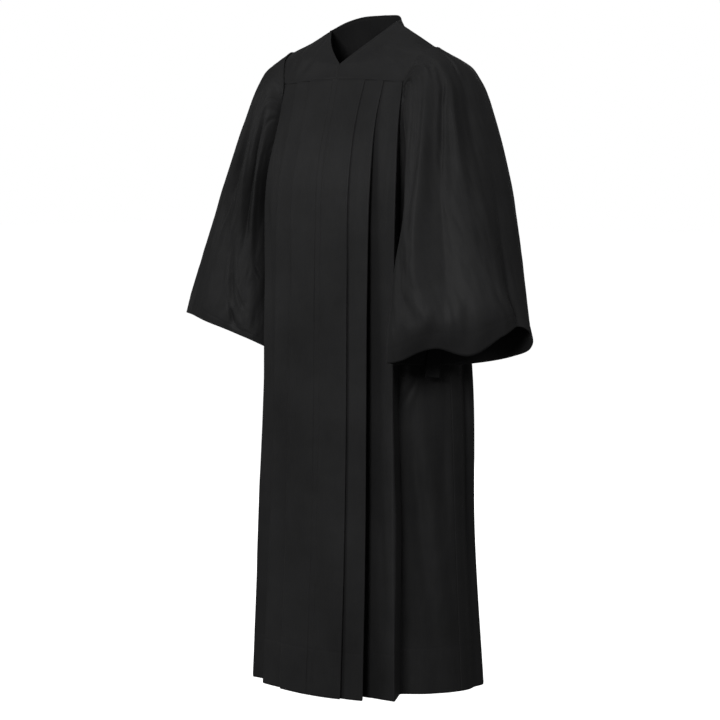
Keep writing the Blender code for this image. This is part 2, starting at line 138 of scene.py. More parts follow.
# The back yoke: its seam's place behind the neck and how much that comes forward at the sides,
# where its curve bends between top and seam, and how far in the armhole's edge draws it. Then how
# its width is shared between shoulder and neck, and how many columns each has.
YOKE_SEAM_BACK = 0.095
YOKE_SEAM_FORWARD = 0.017
YOKE_BEND = (0.5, 0.72, 0.30)
YOKE_BEND_OUT = 0.004
YOKE_EDGE_WIDTH = 0.04
SHOULDER_PARTS = 5
NECK_PARTS = 6
SHOULDER_STEPS = 40
NECK_STEPS = 36

# The sleeves: the flat size of a degree of turn and of the whole length, how far the head stands
# off the armhole, and over which shares of the length the head eases into the sleeve. Then how
# far down the small gathers reach, the swells as (height, stretch), and the tab in the left hem.
TURN_WIDTH = 0.0022
SLEEVE_RUN = 0.56
SLEEVE_LIFT = 0.0034
HEAD_LIFT = 0.35
HEAD_LIFT_RUN = 0.012
HEAD_EASE_RUN = 0.16
HEAD_FOLD = 0.40
HEAD_FOLD_RUN = 0.25
CUFF_LIFT_START = 0.75
HEAD_CREASE_RUN = 0.03
GATHER_REACH = 0.055
GATHER_REACH_SWING = 0.02
GATHER_START_RUN = 0.01
GATHER_END_RUN = 0.04
SWELL_RUN = 0.1
SLEEVE_SWELLS = ((0.0016, (0.24, 0.24, 0.20)), (0.0003, (0.08, 0.08, 0.06)))
SLEEVE_HEM_SHARE = 0.945
CUFF_MIDDLE = (0.29, -0.065, 0.0)
TAB_TURNS = (239.0, 252.0)
TAB_START = 0.94
TAB_GAP = 0.0036
TAB_HANG = 0.023

# A long fold's flanks: how many half widths they reach, how round its bottom is, how steep they are.
FOLD_REACH = 1.7
FOLD_ROUNDNESS = 0.006
FOLD_STEEPNESS = 1.25

# A crease: its narrow half width and how much wider it grows, as shares of its width, how its
# ends fade, and the bank beside it as a share of its depth.
CREASE_NARROW = 0.6
CREASE_GROWTH = 0.6
CREASE_FADE = 1.3
CREASE_BANK = 0.35

# How deep and how wide each line of stitches or each seam draws the cloth in.
SEWN_LINES = {
    "panel hem": (0.0002, 0.0020),
    "hem": (0.0003, 0.0016),
    "edge": (0.0008, 0.0020),
    "panel seam": (0.0012, 0.0018),
    "yoke seam": (0.0012, 0.0016),
    "gathered seam": (0.0010, 0.0030),
    "plain seam": (0.0010, 0.0020),
    "neck": (0.0006, 0.0016),
    "fly": (0.0004, 0.0012),
    "sleeve head": (0.0008, 0.0030),
    "cuff": (0.0005, 0.0020),
}
SEWN_ROWS = (-0.0045, -0.0028, -0.0014, 0.0, 0.0014, 0.0028, 0.0045)
NECK_STITCHES = 0.0065
SEAM_STITCHES = 0.003
EDGE_STITCHES = 0.004

# The cloth's finish: its sheen, and how far each kind of unevenness goes into tone and relief.
FINISH = {"Specular IOR Level": 0.09, "Sheen Weight": 0.03, "Sheen Roughness": 0.4}
STREAK_SCALE = (420.0, 26.0, 1.0)
TONE = {"ground": 0.34, "clouds": 0.90, "streaks": 0.20, "puckers": 0.18}
BUMP = {"threads": 0.00004, "streaks": 0.00010, "puckers": 0.0011}
GLOSS_SWING = 0.06

# The light and the camera.
MIDDLE = (0.0, 0.0, -0.6)
LIGHTS = {
    "name": ("key light", "right light", "left fill", "top light", "back light"),
    "place": ((1.7, -4.3, 1.0), (4.2, -1.2, 1.6), (-2.8, -3.0, 0.6), (0.6, -0.6, 3.4),
              (-1.4, 4.2, 0.0)),
    "aim": (MIDDLE, (0.3, 0.0, -0.3), MIDDLE, MIDDLE, MIDDLE),
    "size": (1.2, 1.2, 1.6, 2.0, 2.4),
    "power": (110.0, 36.0, 36.0, 26.0, 60.0),
    "in_highlights": (True, True, True, True, False),
}
CAMERA_PLACE = (3.206, -3.837, -0.260)
CAMERA_TILT = 85.4
CAMERA_TURN = 40.0
CAMERA_SENSOR = 36.0
WHITE = (1.0, 1.0, 1.0, 1.0)
FLOOR_GREY = (0.90, 0.90, 0.90, 1.0)
FLOOR_HALF_SIZE = 30.0

# Where the body of the robe lies in plan at each drop below the neck.
FRONT = {
    "drop": (0.103, 0.15, 0.20, 0.25, 0.30, 0.40, 0.50, 0.70, 1.00, ROBE_LENGTH),
    "centre": (-0.090, -0.102, -0.117, -0.131, -0.139, -0.144, -0.1465, -0.149, -0.157, -0.174),
}
SIDE = {
    "drop": (UNDERARM_DROP, 0.40, 0.50, 0.70, 1.00, ROBE_LENGTH),
    "seam_x": (0.188, 0.189, 0.192, 0.201, 0.209, 0.222),
    "seam_y": (0.000, 0.006, 0.012, 0.020, 0.026, 0.030),
    "fore_x": (0.172, 0.170, 0.170, 0.174, 0.181, 0.190),
    "fore_y": (-0.040, -0.035, -0.030, -0.027, -0.029, -0.032),
}
BACK = {
    "drop": (BACK_SEAM_DROP, 0.20, UNDERARM_DROP, 0.50, 0.70, 1.00, ROBE_LENGTH),
    "corner_x": (0.125, 0.130, 0.165, 0.190, 0.205, 0.209, 0.226),
    "corner_y": (0.087, 0.105, 0.095, 0.080, 0.082, 0.083, 0.092),
    "centre": (0.095, 0.113, 0.125, 0.133, 0.146, 0.160, 0.176),
}

# The three knife pleats of a front panel, from the centre outwards.
PLEAT_DROPS = (0.103, 0.20, 0.30, 0.50, 0.70, 1.00, ROBE_LENGTH)
PLEATS = (
    {
        "drop": PLEAT_DROPS,
        "x": (0.070, 0.0675, 0.0715, 0.073, 0.074, 0.076, 0.079),
        "y": (-0.0852, -0.1145, -0.1365, -0.1440, -0.1465, -0.155, -0.1715),
        "step": (0.0020, 0.0025, 0.0035, 0.0045, 0.0055, 0.006, 0.008),
        "tuck": (0.0, 0.0010, 0.0020, 0.0030, 0.0040, 0.005, 0.007),
    },
    {
        "drop": PLEAT_DROPS,
        "x": (0.111, 0.110, 0.117, 0.1185, 0.120, 0.125, 0.131),
        "y": (-0.0779, -0.105, -0.1265, -0.1365, -0.141, -0.150, -0.1655),
        "step": (0.0020, 0.006, 0.015, 0.028, 0.036, 0.041, 0.045),
        "tuck": (0.0, 0.003, 0.011, 0.024, 0.031, 0.038, 0.043),
    },
    {
        "drop": PLEAT_DROPS,
        "x": (0.150, 0.155, 0.165, 0.165, 0.165, 0.174, 0.183),
        "y": (-0.0678, -0.088, -0.106, -0.112, -0.115, -0.122, -0.130),
        "step": (0.0020, 0.010, 0.030, 0.044, 0.050, 0.056, 0.060),
        "tuck": (0.0, 0.003, 0.015, 0.024, 0.027, 0.031, 0.035),
    },
)

# The left armhole, from the shoulder point forwards and round: place, then facing.
ARMHOLE = {
    "turn": (0, 15, 28, 41, 52, 80, 105, 135, 180, 225, 255, 283, 308, 333, 360),
    "x": (0.184, 0.181, 0.175, 0.166, 0.156, 0.159, 0.162, 0.168, 0.188, 0.180, 0.167, 0.162, 0.162,
          0.176, 0.184),
    "y": (0.000, -0.019, -0.040, -0.055, -0.066, -0.067, -0.064, -0.055, 0.0, 0.056, 0.076, 0.082,
          0.078, 0.044, 0.0),
    "z": (-0.048, -0.050, -0.062, -0.084, -0.111, -0.155, -0.200, -0.260, -0.330, -0.270, -0.205,
          -0.160, -0.122, -0.066, -0.048),
    "face_x": (0.35, 0.34, 0.32, 0.28, 0.25, 0.60, 0.78, 0.85, 1.0, 0.8, 0.6, 0.5, 0.4, 0.35, 0.35),
    "face_y": (0.0, -0.25, -0.50, -0.80, -0.93, -0.78, -0.62, -0.50, 0.0, 0.6, 0.8, 0.85, 0.88,
               0.50, 0.0),
    "face_z": (0.94, 0.90, 0.78, 0.53, 0.27, 0.08, 0.0, 0.0, 0.0, 0.0, 0.0, 0.1, 0.25, 0.79, 0.94),
}

# Each sleeve as rings, in wearer's left terms, through its outer, front, inner and back points.
RING_STEPS = (0.0, 0.10, 0.22, 0.36, 0.55, 0.78, 0.93, 1.0)
SLEEVE_RINGS = {
    "left": {
        "outer": ((0.184, 0.0, -0.048), (0.221, 0.004, -0.065), (0.259, 0.006, -0.103),
                  (0.286, 0.010, -0.175), (0.327, 0.014, -0.300), (0.368, 0.020, -0.460),
                  (0.388, 0.024, -0.570), (0.395, 0.027, -0.610)),
        "front": ((0.160, -0.066, -0.17), (0.176, -0.095, -0.148), (0.203, -0.116, -0.190),
                  (0.226, -0.135, -0.265), (0.255, -0.154, -0.370), (0.298, -0.153, -0.490),
                  (0.328, -0.145, -0.575), (0.322, -0.126, -0.620)),
        "inner": ((0.188, 0.0, -0.33), (0.203, -0.006, -0.352), (0.206, -0.020, -0.390),
                  (0.198, -0.050, -0.440), (0.188, -0.095, -0.500), (0.184, -0.135, -0.575),
                  (0.182, -0.153, -0.620), (0.186, -0.157, -0.645)),
        "back": ((0.165, 0.080, -0.19), (0.178, 0.096, -0.165), (0.202, 0.099, -0.205),
                 (0.226, 0.092, -0.270), (0.246, 0.076, -0.380), (0.250, 0.042, -0.520),
                 (0.243, 0.010, -0.610), (0.241, 0.002, -0.655)),
    },
    "right": {
        "outer": ((0.184, 0.0, -0.048), (0.214, -0.004, -0.068), (0.238, -0.010, -0.108),
                  (0.272, -0.016, -0.180), (0.320, -0.020, -0.300), (0.382, -0.018, -0.450),
                  (0.423, -0.014, -0.545), (0.443, -0.012, -0.585)),
        "front": ((0.160, -0.066, -0.17), (0.174, -0.090, -0.150), (0.196, -0.104, -0.190),
                  (0.222, -0.113, -0.265), (0.258, -0.120, -0.370), (0.300, -0.126, -0.490),
                  (0.328, -0.127, -0.575), (0.336, -0.124, -0.612)),
        "inner": ((0.188, 0.0, -0.33), (0.203, -0.004, -0.352), (0.205, -0.012, -0.390),
                  (0.197, -0.030, -0.440), (0.194, -0.050, -0.505), (0.192, -0.068, -0.580),
                  (0.191, -0.078, -0.625), (0.192, -0.080, -0.645)),
        "back": ((0.165, 0.080, -0.19), (0.180, 0.094, -0.165), (0.206, 0.098, -0.205),
                 (0.234, 0.094, -0.270), (0.262, 0.084, -0.380), (0.282, 0.065, -0.520),
                 (0.288, 0.045, -0.605), (0.290, 0.040, -0.645)),
    },
}
HEM_LIFT = {
    "left": {
        "turn": (0, 25, 50, 75, 105, 140, 180, 225, 270, 315, 340, 360),
        "lift": (0.004, 0.030, 0.014, -0.014, 0.008, -0.008, -0.004, 0.0, -0.004, -0.009, -0.008,
                 0.004),
    },
    "right": {
        "turn": (0, 30, 50, 75, 100, 120, 150, 180, 225, 270, 315, 360),
        "lift": (-0.004, 0.004, 0.012, 0.023, 0.025, 0.024, 0.015, 0.003, 0.0, 0.004, 0.0, -0.004),
    },
}

# Long folds that hang from a gathered sleeve head: turn at the head and at the hem, half width
# in degrees, where along the sleeve the fold starts, is deepest and ends, and its depth there.
# A negative depth is a ridge.
SLEEVE_FOLDS = {
    "left": {
        "head": (5, 340, 44, 30, 50, 112, 170, 212, 245, 278, 308),
        "hem": (38, 387, 48, 97, 150, 132, 172, 215, 250, 280, 305),
        "width": (12, 12, 10, 16, 8, 10, 12, 12, 12, 12, 12),
        "start": (0.02, 0.15, 0.05, 0.03, 0.0, 0.05, 0.05, 0.05, 0.0, 0.0, 0.0),
        "deepest": (0.34, 0.85, 0.45, 0.66, 0.25, 0.50, 0.40, 0.45, 0.40, 0.50, 0.35),
        "end": (0.66, 1.25, 0.80, 1.15, 0.55, 0.95, 0.85, 0.95, 1.1, 1.0, 0.9),
        "depth": (0.018, 0.018, 0.004, 0.021, 0.006, 0.007, 0.010, 0.012, 0.012, 0.014, 0.012),
    },
    "right": {
        "head": (22, 50, 75, 80, 132, 180, 214, 246, 278, 310, 338),
        "hem": (28, 55, 86, 158, 150, 180, 216, 250, 282, 308, 340),
        "width": (9, 9, 10, 10, 9, 12, 12, 12, 12, 12, 10),
        "start": (0.0, 0.0, 0.0, 0.0, 0.05, 0.05, 0.0, 0.0, 0.0, 0.0, 0.0),
        "deepest": (0.30, 0.20, 0.40, 0.36, 0.40, 0.40, 0.45, 0.40, 0.50, 0.40, 0.45),
        "end": (0.70, 0.50, 0.80, 0.72, 0.75, 0.85, 1.0, 1.1, 0.95, 0.95, 1.0),
        "depth": (0.006, 0.007, 0.012, 0.012, 0.006, 0.010, 0.012, 0.012, 0.014, 0.012, 0.010),
    },
}

# Creases, listed one by one. Each runs from one place on the cloth to another, bowed sideways by `bow`, as
# a soft trough `depth` deep, or a ridge where that is negative. Places and sizes are in metres:
# across from the centre front and down from the neck on the body.
FRONT_CREASES = {
    "left": {
        "across": (0.030, 0.050, 0.090, 0.140, 0.188, 0.205, 0.172, 0.232, 0.240, 0.262, 0.150, 0.200),
        "down": (0.16, 0.15, 0.17, 0.14, 0.72, 0.685, 0.80, 0.70, 0.98, 0.60, 0.95, 1.02),
        "to_across": (0.022, 0.060, 0.096, 0.150, 0.262, 0.176, 0.205, 0.268, 0.290, 0.275, 0.160,
                      0.232),
        "to_down": (0.40, 0.52, 0.55, 0.42, 1.28, 0.745, 1.20, 0.98, 1.29, 1.04, 1.20, 1.28),
        "bow": (0.003, -0.004, 0.003, 0.002, 0.006, 0.002, 0.005, -0.006, 0.004, -0.004, 0.003, 0.004),
        "width": (0.012, 0.016, 0.010, 0.008, 0.016, 0.006, 0.018, 0.018, 0.018, 0.016, 0.010, 0.012),
        "depth": (0.0008, -0.0010, 0.0008, 0.0010, 0.006, 0.0015, -0.002, 0.0025, -0.002, 0.0025, 0.0012,
                  0.0015),
    },
    "right": {
        "across": (0.028, 0.055, 0.080, 0.130, 0.150, 0.185, 0.205, 0.240, 0.225, 0.250),
        "down": (0.20, 0.16, 0.60, 0.18, 0.35, 0.45, 0.60, 0.55, 0.85, 0.80),
        "to_across": (0.034, 0.050, 0.086, 0.140, 0.156, 0.200, 0.226, 0.262, 0.255, 0.262),
        "to_down": (0.50, 0.48, 1.10, 0.50, 0.80, 0.90, 1.10, 0.95, 1.20, 1.18),
        "bow": (-0.003, 0.004, 0.003, 0.002, 0.003, 0.006, -0.004, 0.004, -0.006, 0.004),
        "width": (0.014, 0.016, 0.018, 0.010, 0.012, 0.014, 0.018, 0.016, 0.018, 0.016),
        "depth": (0.0008, 0.0010, -0.0012, 0.0010, 0.0016, 0.004, 0.005, -0.004, 0.004, 0.004),
    },
}


class Cloth(bpy.types.PropertyGroup):
    thickness: bpy.props.FloatProperty(
        name="Thickness", description="How thick the cloth is", default=0.0018, unit="LENGTH"
    )
    hem: bpy.props.FloatProperty(
        name="Hem", description="How far above the edge the hem is sewn", default=0.09, unit="LENGTH"
    )
    colour: bpy.props.FloatVectorProperty(
        name="Colour", description="Colour of the cloth", size=3, subtype="COLOR",
        default=(0.0190, 0.0190, 0.0194),
    )
    roughness: bpy.props.FloatProperty(
        name="Roughness", description="How soft the sheen of the satin weave is", default=0.52
    )
    thread_pitch: bpy.props.FloatProperty(
        name="Thread pitch", description="Distance between threads", default=0.0011, unit="LENGTH"
    )
    gather_ridges: bpy.props.IntProperty(
        name="Gather ridges", description="Small ridges round one gathered sleeve head", default=96
    )
    gather_height: bpy.props.FloatProperty(
        name="Gather height", description="How high those ridges stand", default=0.0008, unit="LENGTH"
    )


class Studio(bpy.types.PropertyGroup):
    floor_drop: bpy.props.FloatProperty(
        name="Floor", description="How far the floor lies under the hem", default=0.12, unit="LENGTH"
    )
    air_light: bpy.props.FloatProperty(
        name="Air light", description="How much light comes evenly from all round", default=0.08
    )
    floor_glow: bpy.props.FloatProperty(
        name="Floor glow", description="How brightly the floor is lit by its own lamps", default=0.95
    )
    lens: bpy.props.FloatProperty(
        name="Lens", description="Focal length of the camera in millimetres", default=125.0
    )


def smooth(keys, values, where):
    """Values at `where` on a smooth line through the values at the rising keys."""
    keys = np.asarray(keys, float)
    values = np.asarray(values, float)
    where = np.asarray(where, float)
    slopes = np.gradient(values, keys, axis=0)
    start = np.clip(np.searchsorted(keys, where) - 1, 0, len(keys) - 2)
    width = keys[start + 1] - keys[start]
    t = (where - keys[start]) / width
    rise = t * t * (3 - 2 * t)
    leave = t * (1 - t) ** 2 * width
    arrive = -t * t * (1 - t) * width
    if values.ndim > 1:
        rise, leave, arrive = rise[..., None], leave[..., None], arrive[..., None]
    ends = values[start] * (1 - rise) + values[start + 1] * rise
    return ends + slopes[start] * leave + slopes[start + 1] * arrive


def read(table, where, key="drop"):
    """Every other column of the table at these keys."""
    return {name: smooth(table[key], table[name], where) for name in table if name != key}


def ease(value):
    """A smooth rise from 0 to 1 while the value goes from 0 to 1."""
    value = np.clip(value, 0, 1)
    return value * value * (3 - 2 * value)


def unit(vectors):
    return vectors / np.maximum(np.linalg.norm(vectors, axis=-1, keepdims=True), 1e-12)


def points(x, y, z):
    return np.stack(np.broadcast_arrays(x, y, z), -1).astype(float)


def armhole(turn):
    """(place, facing) on the left armhole at these turns."""
    row = read(ARMHOLE, np.mod(turn, 360), "turn")
    facing = unit(points(row["face_x"], row["face_y"], row["face_z"]))
    return points(row["x"], row["y"], row["z"]), facing


def armhole_at_drop(drop, low, high):
    """The armhole's plan place at these drops, between two turns where it only rises or falls."""
    places = armhole(np.linspace(low, high, 120))[0]
    order = np.argsort(-places[:, 2])
    keys = -places[order, 2]
    return np.interp(drop, keys, places[order, 0]), np.interp(drop, keys, places[order, 1])


def seam_drop(x):
    """How far down the seam across the chest lies at this distance from the centre."""
    share = np.minimum(np.abs(x) / SEAM_HALF_WIDTH, 1) ** 2
    return SEAM_CENTRE[1] + (SEAM_END[1] - SEAM_CENTRE[1]) * share


def seam_point(x):
    """A point of the yoke seam across the chest."""
    share = np.minimum(x / SEAM_HALF_WIDTH, 1) ** 2
    return points(x, SEAM_CENTRE[0] + (SEAM_END[0] - SEAM_CENTRE[0]) * share, -seam_drop(x))


def close_steps(count, pull=0.75):
    """Rising shares from 0 to 1, without the last, closer together at both ends."""
    t = np.arange(count) / count
    return t * (1 - pull) + ease(t) * pull


def line_through(route, where):
    """Points of a smooth line through a route of plan points, at shares of its length."""
    route = np.array(route)
    keys = np.concatenate([[0], np.cumsum(np.linalg.norm(np.diff(route, axis=0), axis=1))])
    return smooth(keys, route, where(keys))


def pleat_lines(drop, name="left"):
    """(fold, behind) plan points of the three knife pleats of a front panel at these drops.

    Each fold is rolled a little further out than the pressed line behind it.
    """
    lines = []
    for number, pleat in enumerate(PLEATS):
        row = read(pleat, drop)
        if name == "right" and number == 2:
            spread = np.clip((drop - RIGHT_SPREAD_START) / RIGHT_SPREAD_RUN, 0, 1)
            row["x"] = row["x"] + RIGHT_PLEAT_SPREAD * spread
        rolled = name == "left" or number == 2
        roll = FOLD_ROLL * ease((row["step"] - SEWN_STEP) / FOLD_ROLL_STEP) * rolled
        fold = points(row["x"] + roll, row["y"] - roll, 0)[..., :2]
        behind = points(row["x"] - row["tuck"], row["y"] + row["step"], 0)[..., :2]
        lines.append((fold, behind))
    return lines


def hem_dip(x, drop):
    """How much lower the front hangs towards the middle of its hem."""
    low = np.clip((drop - HEM_DIP_START) / (ROBE_LENGTH - HEM_DIP_START), 0, 1)
    return HEM_DIP * np.clip(1 - (x / HEM_DIP_HALF_WIDTH) ** 2, 0, 1) * low


def round_line(drop, name="left"):
    """Plan points from behind the last pleat of a side round the back to the other one."""
    side = read(SIDE, max(drop, UNDERARM_DROP))
    back = read(BACK, drop)
    half = [
        tuple(pleat_lines(drop, name)[2][1]),
        (side["fore_x"], side["fore_y"]),
        (side["seam_x"], side["seam_y"]),
        (back["corner_x"], back["corner_y"]),
        (back["corner_x"] * BACK_BEND[0], back["centre"] * BACK_BEND[1]),
    ]
    return half + [(0.0, back["centre"])] + [(-x, y) for x, y in reversed(half)]


def side_gap(drop):
    """Half the gap at the side seam, which opens a little towards the underarm."""
    return UNDERARM_GAP * np.clip((UNDERARM_GAP_END - drop) / UNDERARM_GAP_FADE, 0, 1)


def soften(grid, passes):
    """Rounds the sharp turns of each row a little, and keeps its two ends."""
    for _ in range(passes):
        grid[:, 1:-1] = (grid[:, :-2] + 2 * grid[:, 1:-1] + grid[:, 2:]) / 4
    return grid


def normals(grid):
    """Which way the cloth faces at each place of a grid."""
    return unit(np.cross(np.gradient(grid, axis=0), np.gradient(grid, axis=1)))


def creases(table, across, down):
    """How far the cloth lies in at these places because of a table of creases.

    A crease widens as it runs, fades out at both ends, and has a low bank on either side.
    """
    depth = np.zeros(np.broadcast(across, down).shape)
    for number in range(len(table["depth"])):
        row = {key: table[key][number] for key in table}
        start = np.array([row["across"], row["down"]])
        run = np.array([row["to_across"], row["to_down"]]) - start
        length = np.linalg.norm(run)
        ahead = run / length
        x, y = across - start[0], down - start[1]
        share = (x * ahead[0] + y * ahead[1]) / length
        away = -x * ahead[1] + y * ahead[0] - row["bow"] * 4 * share * (1 - share)
        width = row["width"] * (CREASE_NARROW + CREASE_GROWTH * np.clip(share, 0, 1))
        along = np.sin(np.pi * np.clip(share, 0, 1)) ** CREASE_FADE
        trough = np.exp(-((away / width) ** 2))
        bank = np.exp(-(((np.abs(away) - 2 * width) / width) ** 2))
        depth += row["depth"] * along * (trough - CREASE_BANK * bank)
    return depth


def unevenness(places, stretch):
    """Soft hollows and swells of the cloth, between about -1 and 1, longer where stretched."""
    flat = (places / np.array(stretch)).reshape(-1, 3)
    heights = [noise.fractal(place, 1.0, 2.0, 3) for place in flat.tolist()]
    return np.reshape(heights, places.shape[:-1])


def add_object(name, data):
    """A new object in the scene with this mesh, light or camera."""
    added = bpy.data.objects.new(name, data)
    bpy.context.scene.collection.objects.link(added)
    return added


def mesh_object(name, body):
    """A new object from a bmesh, which is freed."""
    mesh = bpy.data.meshes.new(name)
    body.to_mesh(mesh)
    body.free()
    return add_object(name, mesh)


def sheet_mesh(name, grid, flat, ring=False, mirrored=False):
    """A piece of cloth from a grid of places, with a UV map in metres along the cloth.

    `flat` gives each place of the grid as (across, down) on the uncut cloth.
    """
    rows, columns = grid.shape[0] - 1, grid.shape[1] - 1
    body = bmesh.new()
    bmesh.ops.create_grid(body, x_segments=columns, y_segments=rows, size=0.5)
    layer = body.loops.layers.uv.new("cloth")
    body.verts.ensure_lookup_table()
    places = {}
    for vert in body.verts:
        column = round((vert.co.x + 0.5) * columns)
        row = rows - round((vert.co.y + 0.5) * rows)
        places[vert.index] = (row, column)
    for face in body.faces:
        for loop in face.loops:
            loop[layer].uv = flat[places[loop.vert.index]]
    for vert in body.verts:
        vert.co = grid[places[vert.index]]
    if ring:
        bmesh.ops.remove_doubles(body, verts=body.verts, dist=1e-5)
    if mirrored:
        bmesh.ops.reverse_faces(body, faces=body.faces)
    for face in body.faces:
        face.smooth = True
    piece = mesh_object(name, body)
    shell = piece.modifiers.new("Cloth thickness", "SOLIDIFY")
    shell.thickness = bpy.context.scene.robe_cloth.thickness
    shell.offset = 0.0
    return piece


def run_lengths(grid):
    """(across, down) in metres along the cloth for each place of a grid."""
    across = np.zeros(grid.shape[:2])
    across[:, 1:] = np.cumsum(np.linalg.norm(np.diff(grid, axis=1), axis=2), axis=1)
    across = np.broadcast_to(across.mean(axis=0), across.shape)
    down = np.zeros(grid.shape[:2])
    down[1:] = np.cumsum(np.linalg.norm(np.diff(grid, axis=0), axis=2), axis=0)
    return np.stack([across, down], -1)


def wear(piece, node):
    """Gives the piece its cloth, puts it on the root body and hides the CAD part of its node."""
    piece.data.materials.append(robe_cloth())
    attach(piece, "root")
    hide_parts(node)


def close_rows(top, bottom, count, lines):
    """Rising drops from top to bottom, with extra rows round each sewn line."""
    extra = [line + np.array(SEWN_ROWS) for line in lines]
    rows = np.unique(np.round(np.concatenate([np.linspace(top, bottom, count)] + extra), 5))
    return rows[(rows >= top) & (rows <= bottom)]


def sewn_line(kind, distance):
    """How far a line of stitches or a seam draws the cloth in at this distance from it."""
    depth, width = SEWN_LINES[kind]
    return depth * np.exp(-((distance / width) ** 2))


def skirt_drops(top):
    """Rising drops of a long panel's rows, from its top to the edge of the skirt."""
    hem = ROBE_LENGTH - bpy.context.scene.robe_cloth.hem
    lines = (top + SEAM_STITCHES, hem, ROBE_LENGTH - EDGE_STITCHES)
    return close_rows(top, ROBE_LENGTH, 205, lines)


def side_strip(name, rows, shares):
    """Plan points from behind the last pleat to the side seam, or to the armhole above it."""
    behind = pleat_lines(rows, name)[2][1]
    end_x, end_y = armhole_at_drop(rows, FRONT_SEAM_TURN, UNDERARM_TURN)
    end = np.stack([end_x, end_y], -1)
    strip = behind[:, None] + (end - behind)[:, None] * shares[None, :, None]

    def side_line(drop):
        gap = side_gap(drop)
        return line_through(round_line(drop, name), lambda keys: shares * (keys[2] - gap))

    at_arm = side_line(UNDERARM_DROP)
    straight = at_arm[0] + (at_arm[-1] - at_arm[0]) * shares[:, None]
    for number, drop in enumerate(rows):
        if drop >= UNDERARM_DROP:
            strip[number] = side_line(drop)
        else:
            near = (drop - UNDERARM_EASE_START) / (UNDERARM_DROP - UNDERARM_EASE_START)
            strip[number] += (at_arm - straight) * ease(near)
    return strip


def front_panel_grid(name):
    """Places of a front panel in wearer's left terms, and how far each is across and down.

    It goes from the fly outwards: a strip, then a pleat's fold, three times, then the side part.
    """
    rows = skirt_drops(SEAM_CENTRE[1])
    strips = (30, 26, 26)
    steps = (7, 14, 14)
    side_steps = 52
    columns = []

    def placed(x, y, across):
        columns.append((x, y, across))

    lines = pleat_lines(rows, name)
    centre = read(FRONT, rows)["centre"]
    first = FLY_HALF_WIDTH + SEAM_GAP
    start_x, start_y = lines[0][0].T
    for share in close_steps(strips[0], 0.6):
        x = first + share * (start_x - first)
        placed(x, centre + (start_y - centre) * (x / start_x) ** 2, x)
    for number, (fold, behind) in enumerate(lines):
        for share in close_steps(steps[number]):
            placed(*(fold + (behind - fold) * share).T, fold[:, 0])
        if number == 2:
            break
        ahead = lines[number + 1][0]
        rise = STRIP_RISE[number] * ease((rows - STRIP_RISE_START) / STRIP_RISE_RUN)
        for share in close_steps(strips[number + 1], 0.6):
            place = behind + (ahead - behind) * share
            place[:, 1] -= rise * math.sin(math.pi * share ** 0.6)
            placed(*place.T, place[:, 0])
    shares = np.append(close_steps(side_steps, 0.3), 1.0)
    strip = side_strip(name, rows, shares)
    reach = np.cumsum(np.linalg.norm(np.diff(strip, axis=1, prepend=strip[:, :1]), axis=2), axis=1)
    for number in range(len(shares)):
        placed(*strip[:, number].T, lines[2][0][:, 0] + reach[:, number])
    x, y, across = (np.stack([column[part] for column in columns], 1) for part in range(3))
    level = np.broadcast_to(rows[:, None], x.shape)
    near_seam = 1 - np.clip((level - SEAM_CENTRE[1]) / SEAM_EASE, 0, 1)
    down = level + (seam_drop(x) + SEAM_GAP - SEAM_CENTRE[1]) * near_seam
    grid = soften(points(x, y, -down - hem_dip(x, level)), 3)
    return grid, across, down


class ROBE_OT_front_panels(bpy.types.Operator):
    """Lays both front panels with their knife pleats, hem and side folds"""

    bl_idname = "robe.front_panels"
    bl_label = "Front panels"

    def execute(self, context):
        hem = ROBE_LENGTH - context.scene.robe_cloth.hem
        for name, side in (("left", 1), ("right", -1)):
            grid, across, down = front_panel_grid(name)
            flat = run_lengths(grid)
            out = normals(grid)
            depth = creases(FRONT_CREASES[name], across, down)
            swell = unevenness(points(across, 3.0 * side, down), FRONT_SWELL_STRETCH)
            depth += FRONT_SWELLS[0] * swell * (across < PLEATS[0]["x"][0])
            depth += FRONT_SWELLS[1] * swell * (across > PLEATS[2]["x"][0])
            to_side = across[:, -1:] - across
            depth *= ease((down - FRONT_CREASE_START) / FRONT_CREASE_RUN) * ease(to_side / SIDE_SEAM_RUN)
            depth += sewn_line("panel hem", down - hem) + sewn_line("edge", ROBE_LENGTH - down)
            depth += sewn_line("panel seam", down - seam_drop(grid[..., 0]))
            grid = (grid - out * depth[..., None]) * (side, 1, 1)
            piece = sheet_mesh("front_panel_" + name + "_cloth", grid, flat, mirrored=side < 0)
            wear(piece, "front_panel_" + name)
        return {"FINISHED"}


class ROBE_OT_front_fly(bpy.types.Operator):
    """Lays the narrow fly that covers the closing down the centre front"""

    bl_idname = "robe.front_fly"
    bl_label = "Front fly"

    def execute(self, context):
        rows = skirt_drops(SEAM_CENTRE[1] + SEAM_GAP)[:, None]
        reach = FLY_HALF_WIDTH + SEAM_GAP
        x = np.linspace(-reach, reach, 21)[None, :]
        centre = read(FRONT, rows)["centre"]
        first = read(PLEATS[0], rows)
        y = centre + (first["y"] - centre) * (x / first["x"]) ** 2
        grid = points(x, y, -rows - hem_dip(x, rows))
        hem = ROBE_LENGTH - context.scene.robe_cloth.hem
        depth = sewn_line("fly", np.abs(x) - FLY_HALF_WIDTH) + sewn_line("hem", rows - hem)
        flat = run_lengths(grid)
        grid = grid - normals(grid) * depth[..., None]
        piece = sheet_mesh("front_fly_cloth", grid, flat)
        wear(piece, "front_fly")
        return {"FINISHED"}


